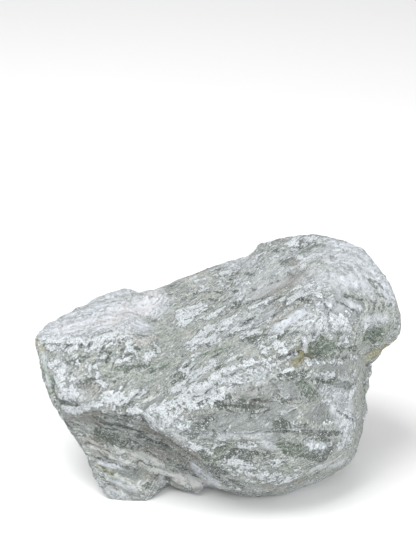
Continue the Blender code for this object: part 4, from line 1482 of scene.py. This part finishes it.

# %% [markdown]
# ## Tones that the layers share
#
# The material is built as the stone is: the ground first, then what grew in
# it and the painted shade in its sheltered places, what slipped, what stained
# it, and last the talc that was crushed on top and the splits that opened.  All
# of them share a few tones of noise, so that colour, gloss and bump agree.
# Object coordinates keep the noise in place.


# %% Shared tones
def shared_tones(nodes):
    """The tones of noise and the masks that the layers share."""
    in_mm = nodes.add("ShaderNodeVectorMath", operation="SCALE", Scale=1.0 / MM)
    nodes.feed(in_mm.inputs[0], nodes.add("ShaderNodeTexCoord").outputs["Object"])
    place = in_mm.outputs[0]

    def grained(length, width, thickness):
        """The position in steps of the given sizes along, across and through the grain."""
        return nodes.group(GRAIN_GROUP, Position=place, Length=length, Width=width, Thickness=thickness)[0]

    coarse = grained(1.5, 1.2, 1.0)
    patches = grained(11.0, 5.0, 3.0)
    fleck = nodes.tone(grained(1.7, 0.9, 0.5), scale=1.0, detail=3.0, low=0.40, high=0.60)
    line = nodes.tone(grained(7.0, 1.6, 0.6), scale=1.0, detail=3.0, low=0.38, high=0.62)
    speck = nodes.tone(place, scale=1.1, detail=3.0, low=0.40, high=0.60)
    grit = nodes.tone(place, scale=2.8, detail=1.0, low=0.41, high=0.59)
    drift = nodes.tone(patches, scale=1.2, detail=2.0, low=0.40, high=0.60)
    dark = nodes.group(
        CRUST_GROUP, Vector=coarse, Field=nodes.field("dark"), Raggedness=1.7, Clumps=0.6, Softness=0.18
    )["Mask"]
    slip = nodes.ramp(nodes.plus(nodes.field("slip"), nodes.times(speck, 0.2)), 0.4, 0.6)
    crust = nodes.group(
        CRUST_GROUP, Vector=coarse, Field=nodes.field("bruise"), Raggedness=2.7, Clumps=1.2, Softness=0.15
    )
    return SimpleNamespace(
        place=place, coarse=coarse, patches=patches, fleck=fleck, line=line, speck=speck, grit=grit,
        grain=nodes.blend((fleck, 0.5), (grit, 0.5)), drift=drift, dark=dark,
        slip=nodes.times(slip, nodes.without(dark)), crust=crust["Mask"], crust_foot=crust["Foot"],
    )


soapstone = bpy.data.materials.new("soapstone")
soapstone.use_nodes = True
stone.data.materials.append(soapstone)
NODES = Nodes(soapstone.node_tree)
TONES = shared_tones(NODES)
print("nodes with the shared tones:", len(soapstone.node_tree.nodes))

# %% [markdown]
# ## The ground
#
# Between its marks the stone is grey-green and streaked.  One noise texture
# would look like fog, so streaks, grain and slow drift of three sizes are
# mixed, and a few flecks of talc glint in it.  Each value that ends in COVER
# says how much a thing hides of what lies under it.

# %% The ground
GROUND_DARK = (0.115, 0.137, 0.122)
GROUND_PALE = (0.56, 0.60, 0.575)
GROUND_WARM = (0.535, 0.54, 0.51)
TALC_WHITE = (0.85, 0.895, 0.93)
GLINT_COVER = 0.6


def ground(nodes, tones):
    """Grey-green ground, streaked along the grain, with glints of talc."""
    pale = nodes.cover(GROUND_PALE, GROUND_WARM, tones.drift)
    streaks = nodes.blend((tones.line, 0.25), (tones.grain, 0.6), (tones.drift, 0.15))
    glint = nodes.ramp(nodes.times(tones.fleck, tones.grit), 0.45, 0.9)
    return nodes.cover(nodes.cover(GROUND_DARK, pale, streaks), TALC_WHITE, nodes.times(glint, GLINT_COVER))


colour = ground(NODES, TONES)
print("nodes with the ground:", len(soapstone.node_tree.nodes))

# %% [markdown]
# ## Chlorite, painted shade and slip faces
#
# Each layer from here on is a short function that takes the colour so far and
# gives it back with one more thing laid over it.  Dark chlorite, partly
# painted shade, comes first.
# The slip faces are calm and even, with lines along the grain, and they stay
# free of the painted shade in the pits and of the fine frost of talc that
# break up the rest.

# %% Chlorite and painted shade, slip faces, painted pit shade and frost
# dark green of chlorite, and of the painted shade in sheltered places, in pits, at the foot of the crust and
# in gaps
SHADE_AND_CHLORITE = (0.04, 0.052, 0.042)
SHADE_AND_CHLORITE_PALE = (0.17, 0.195, 0.175)
SHADE_AND_CHLORITE_COVER = 0.95
FACET_DARK = (0.095, 0.107, 0.103)
FACET_PALE = (0.305, 0.33, 0.33)
FACET_COVER = 0.9
PIT_SHADE_COVER = 0.72
FROST_COVER = 0.72


def chlorite_and_painted_shade(nodes, tones, colour):
    """Dark green chlorite, and painted shade in the sheltered places."""
    green = nodes.cover(SHADE_AND_CHLORITE, SHADE_AND_CHLORITE_PALE, tones.grain)
    return nodes.cover(colour, green, nodes.times(tones.dark, SHADE_AND_CHLORITE_COVER))


def slip_faces(nodes, tones, colour):
    """Smooth slip faces with lines along the grain."""
    facet = nodes.cover(FACET_DARK, FACET_PALE, nodes.blend((tones.line, 0.5), (tones.grit, 0.5)))
    return nodes.cover(colour, facet, nodes.times(tones.slip, FACET_COVER))


def pit_shade_and_frost(nodes, tones, colour):
    """Painted pit shade and a frost of fine talc specks, both fewer on calm ground and none on the slip
    faces.
    """
    rough = nodes.most(tones.dark, nodes.ramp(nodes.field("bruise"), -0.8, 0.1))
    rough = nodes.most(rough, nodes.times(nodes.field("brown"), 0.9))
    rough = nodes.times(rough, nodes.without(tones.slip))
    # painted shade in the small pits between the crumbs
    pit_shade = nodes.times(nodes.tone(tones.coarse, scale=1.9, detail=1.0, low=0.46, high=0.36), rough)
    frost = nodes.times(nodes.tone(tones.place, scale=1.4, detail=3.0, low=0.55, high=0.64), rough)
    colour = nodes.cover(colour, SHADE_AND_CHLORITE, nodes.times(pit_shade, PIT_SHADE_COVER))
    return nodes.cover(colour, TALC_WHITE, nodes.times(frost, FROST_COVER))


for layer in (chlorite_and_painted_shade, slip_faces, pit_shade_and_frost):
    colour = layer(NODES, TONES, colour)
print("nodes with chlorite and slip faces:", len(soapstone.node_tree.nodes))

# %% [markdown]
# ## Stains and loose talc
#
# A stain soaks in, so it follows the specks of the stone.  Dust lies on top,
# thinner on dark stone, and a strip of talc breaks up along the grain.  Under
# the arch between the foot and the belly both are painted light.

# %% Stains and loose talc
BROWN_DARK = (0.09, 0.084, 0.073)
BROWN_PALE = (0.37, 0.352, 0.32)
BROWN_COVER = 0.75
MOSS = (0.11, 0.145, 0.08)
MOSS_PALE = (0.42, 0.51, 0.43)
GREEN_COVER = 0.6
RUST = (0.30, 0.265, 0.105)
RUST_COVER = 1.1
TALC_DUST = (0.715, 0.755, 0.825)
DUST_SHADE = (0.52, 0.55, 0.575)
DUST_COVER = 0.68
PALE_STRIP = (0.60, 0.625, 0.60)


def stains(nodes, tones, colour):
    """Brown, green and rust, where the fields say."""
    brown = nodes.cover(BROWN_DARK, BROWN_PALE, tones.grain)
    moss = nodes.cover(MOSS, MOSS_PALE, tones.grain)
    colour = nodes.cover(colour, brown, nodes.times(nodes.field("brown"), BROWN_COVER))
    for name, tint, amount in (("green", moss, GREEN_COVER), ("rust", RUST, RUST_COVER)):
        stain = nodes.times(nodes.field(name), amount)
        colour = nodes.cover(colour, tint, nodes.times(stain, tones.speck))
    return colour


def loose_talc(nodes, tones, colour):
    """A lilac film of loose talc that lies thinner on dark stone, and pale strips along the grain; under the
    arch between the foot and the belly both are painted light.
    """
    blotch = nodes.tone(tones.place, scale=0.45, detail=5.0, low=0.38, high=0.60)
    thick = nodes.plus(nodes.blend((blotch, 0.2), (tones.grit, 0.15)), DUST_COVER)
    dust = nodes.times(nodes.times(nodes.field("dust"), thick), nodes.without(tones.dark, 0.7))
    colour = nodes.cover(colour, nodes.cover(DUST_SHADE, TALC_DUST, blotch), dust)
    strip = nodes.times(nodes.ramp(nodes.field("strip"), 0.4, 0.7), nodes.ramp(tones.line, -0.4, 0.6))
    return nodes.cover(colour, PALE_STRIP, strip)


for layer in (stains, loose_talc):
    colour = layer(NODES, TONES, colour)
print("nodes with stains and loose talc:", len(soapstone.node_tree.nodes))

# %% [markdown]
# ## Crushed talc
#
# Where the stone was struck the talc is crushed to a white crust.  A dark
# foot round each patch, a painted shadow, makes it look laid on, which white
# alone does not.

# %% Crushed talc
TALC_GREY = (0.38, 0.42, 0.43)
CRUST_SHADOW = 0.5
CRUST_COVER = 0.9
PINK_TALC = (0.78, 0.72, 0.70)
PINK_COVER = 0.5


def crushed_talc(nodes, tones, colour):
    """White crust of crushed talc with a painted shadow as a dark foot around it, in places pink."""
    clumps = nodes.tone(tones.place, scale=1.7, detail=2.0, low=0.38, high=0.52)
    # the dark foot round the crust is a painted shadow
    colour = nodes.cover(colour, SHADE_AND_CHLORITE, nodes.times(tones.crust_foot, CRUST_SHADOW))
    crushed = nodes.cover(TALC_GREY, TALC_WHITE, clumps)
    colour = nodes.cover(colour, crushed, nodes.times(tones.crust, CRUST_COVER))
    pink = nodes.times(nodes.field("pink"), PINK_COVER)
    return nodes.cover(colour, PINK_TALC, nodes.times(pink, tones.speck))


colour = crushed_talc(NODES, TONES, colour)
print("nodes with crushed talc:", len(soapstone.node_tree.nodes))

# %% [markdown]
# ## Splits and cracks
#
# The layers part every few millimetres, and cracks run where they like.  The
# height above a split is how far a point is through its layer, and the height
# above a crack is a field.  The same group then draws both.

# %% Splits and cracks
SPLIT_STEP = 2.3  # mm from one split to the next
SPLIT_WANDER = 3.5  # how many splits the layers wander over
CRACK_WIDTH = 0.36  # mm from the middle of an open crack to its edge
LIP_COVER = 0.35
GAP_COVER = 0.6


def gaps_and_lips(nodes, tones):
    """Dark gaps and bright lips, both of the splits between layers and of the open cracks."""
    wander = nodes.add("ShaderNodeTexNoise", Vector=tones.patches, Scale=0.5, Detail=4.0, Roughness=0.55)
    through = nodes.add("ShaderNodeSeparateXYZ")
    grained = nodes.group(GRAIN_GROUP, Position=tones.place, Thickness=SPLIT_STEP)
    nodes.feed(through.inputs[0], grained[0])
    layer = nodes.plus(through.outputs["Z"], nodes.times(wander.outputs[0], SPLIT_WANDER))
    above = nodes.times(nodes.minus(nodes.math("FRACT", layer), 0.5), SPLIT_STEP)
    split = nodes.group(SPLIT_GROUP, Height=above)
    broken = nodes.tone(tones.patches, scale=1.6, detail=3.0, low=0.50, high=0.62)
    broken = nodes.times(broken, nodes.without(nodes.field("dust"), 0.85))
    ragged = nodes.plus(nodes.field("crack"), nodes.minus(tones.speck, 0.5))
    crack = nodes.group(SPLIT_GROUP, Height=ragged, Gap_Width=CRACK_WIDTH)
    beside = nodes.times(nodes.field("beside_crack"), 1.4)
    return tuple(
        nodes.most(nodes.times(split[name], broken), nodes.times(crack[name], beside))
        for name in ("Gap", "Lip")
    )


gap, lip = gaps_and_lips(NODES, TONES)
colour = NODES.cover(colour, TALC_WHITE, NODES.times(lip, LIP_COVER))
# the dark gaps of the splits and cracks are painted shade
colour = NODES.cover(colour, SHADE_AND_CHLORITE, NODES.times(gap, GAP_COVER))
print("nodes with splits and cracks:", len(soapstone.node_tree.nodes))

# %% [markdown]
# ## Gloss and the finest relief
#
# Crushed talc is duller than plain stone, and a slip face has a low sheen.
# The finest relief would take millions of points, so a Bump node tilts the
# light instead, with heights in millimetres.

# %% Gloss, bump and the finished material
PLAIN_ROUGHNESS = 0.68
TALC_ROUGHNESS = 0.2  # what crushed talc adds
SLIP_GLOSS = 0.14  # what a slip face takes away
# Heights of the bump, in mm.
GRAIN_BUMP = 0.3
CRUMB_BUMP = 0.35
CRUST_BUMP = 0.25
LIP_BUMP = 0.15
GAP_BUMP = 0.3


def bump_height(nodes, tones, gap, lip):
    """Height of the finest grain, in mm: grain, crumbs, crust and lips, less the gaps."""
    height = nodes.blend((tones.grain, GRAIN_BUMP), (nodes.times(tones.speck, tones.crust), CRUMB_BUMP))
    height = nodes.times(height, nodes.without(tones.slip, 0.6))
    height = nodes.plus(height, nodes.times(tones.crust, CRUST_BUMP))
    height = nodes.plus(height, nodes.times(lip, LIP_BUMP))
    return nodes.minus(height, nodes.times(gap, GAP_BUMP))


roughness = NODES.plus(NODES.times(TONES.crust, TALC_ROUGHNESS), PLAIN_ROUGHNESS)
roughness = NODES.minus(roughness, NODES.times(TONES.slip, SLIP_GLOSS))
bump = NODES.add(
    "ShaderNodeBump", Height=bump_height(NODES, TONES, gap, lip), Strength=1.0, Distance=MM
)
shader = soapstone.node_tree.nodes["Principled BSDF"]
NODES.feed(shader.inputs["Base Color"], colour)
NODES.feed(shader.inputs["Roughness"], roughness)
NODES.feed(shader.inputs["Normal"], bump.outputs[0])
print("nodes in all:", len(soapstone.node_tree.nodes))

# %% [markdown]
# ## Table, light and camera
#
# The stone lies on a plain pale table in soft light from all round.  Two
# large square lamps, one above to the left and one low in front to the
# right, are big enough to keep the shadows soft.

# %% Stage
FLOOR_SIZE = 6.0
CAMERA_PLACE = (0.0, -0.554256, 0.365)
CAMERA_AIM = (-0.004566, 0.018577, 0.077177)
CAMERA_LENS = 100.0
TABLE_COLOUR = (0.86, 0.86, 0.86)
TABLE_ROUGHNESS = 0.9
ROOM_LIGHT = 0.6
LAMP_AIM = (0.0, 0.0, 0.04)
# Lamps: name, place, size, power.
LAMPS = (
    ("lamp above", (-0.35, -0.2, 0.95), 0.6, 9.9),
    ("lamp in front", (0.65, -0.75, 0.4), 0.8, 7.4),
)


def plain_material(name, colour, roughness):
    """A plain even material."""
    material = bpy.data.materials.new(name)
    material.use_nodes = True
    shader = material.node_tree.nodes["Principled BSDF"]
    shader.inputs["Base Color"].default_value = (*colour, 1.0)
    shader.inputs["Roughness"].default_value = roughness
    return material


def face_point(thing, point):
    """Turn a camera or a lamp so that it looks at a point."""
    thing.rotation_euler = (Vector(point) - thing.location).to_track_quat("-Z", "Y").to_euler()


def soft_lamp(name, place, size, power):
    """A large square lamp that faces the stone."""
    lamp = bpy.data.lights.new(name, "AREA")
    lamp.size = size
    lamp.energy = power
    made = bpy.data.objects.new(name, lamp)
    made.location = place
    face_point(made, LAMP_AIM)
    bpy.context.scene.collection.objects.link(made)
    return made


half = FLOOR_SIZE / 2 / MM
floor_corners = np.array(((-half, -half, 0), (half, -half, 0), (half, half, 0), (-half, half, 0)))
floor = mesh_object("table", floor_corners, np.array(((0, 1, 2, 3),)))
floor.data.materials.append(plain_material("pale table", TABLE_COLOUR, TABLE_ROUGHNESS))

world = bpy.data.worlds.new("soft room")
world.use_nodes = True
background = world.node_tree.nodes["Background"]
background.inputs["Color"].default_value = (1.0, 1.0, 1.0, 1.0)
background.inputs["Strength"].default_value = ROOM_LIGHT
bpy.context.scene.world = world
for lamp_settings in LAMPS:
    soft_lamp(*lamp_settings)

camera = bpy.data.objects.new("camera", bpy.data.cameras.new("camera"))
camera.data.lens = CAMERA_LENS
camera.location = CAMERA_PLACE
face_point(camera, CAMERA_AIM)
bpy.context.scene.collection.objects.link(camera)
bpy.context.scene.camera = camera
bpy.context.scene.view_settings.view_transform = "Standard"
print("lamps:", [name for name, *_ in LAMPS], "lens, mm:", CAMERA_LENS)

# %% [markdown]
# ## Sizes
#
# The scene is brought up to date.  The dressed stone already stays within the
# solid's size, since its points were clipped to the solid's box.

# %% Sizes and finish
bpy.context.view_layer.update()
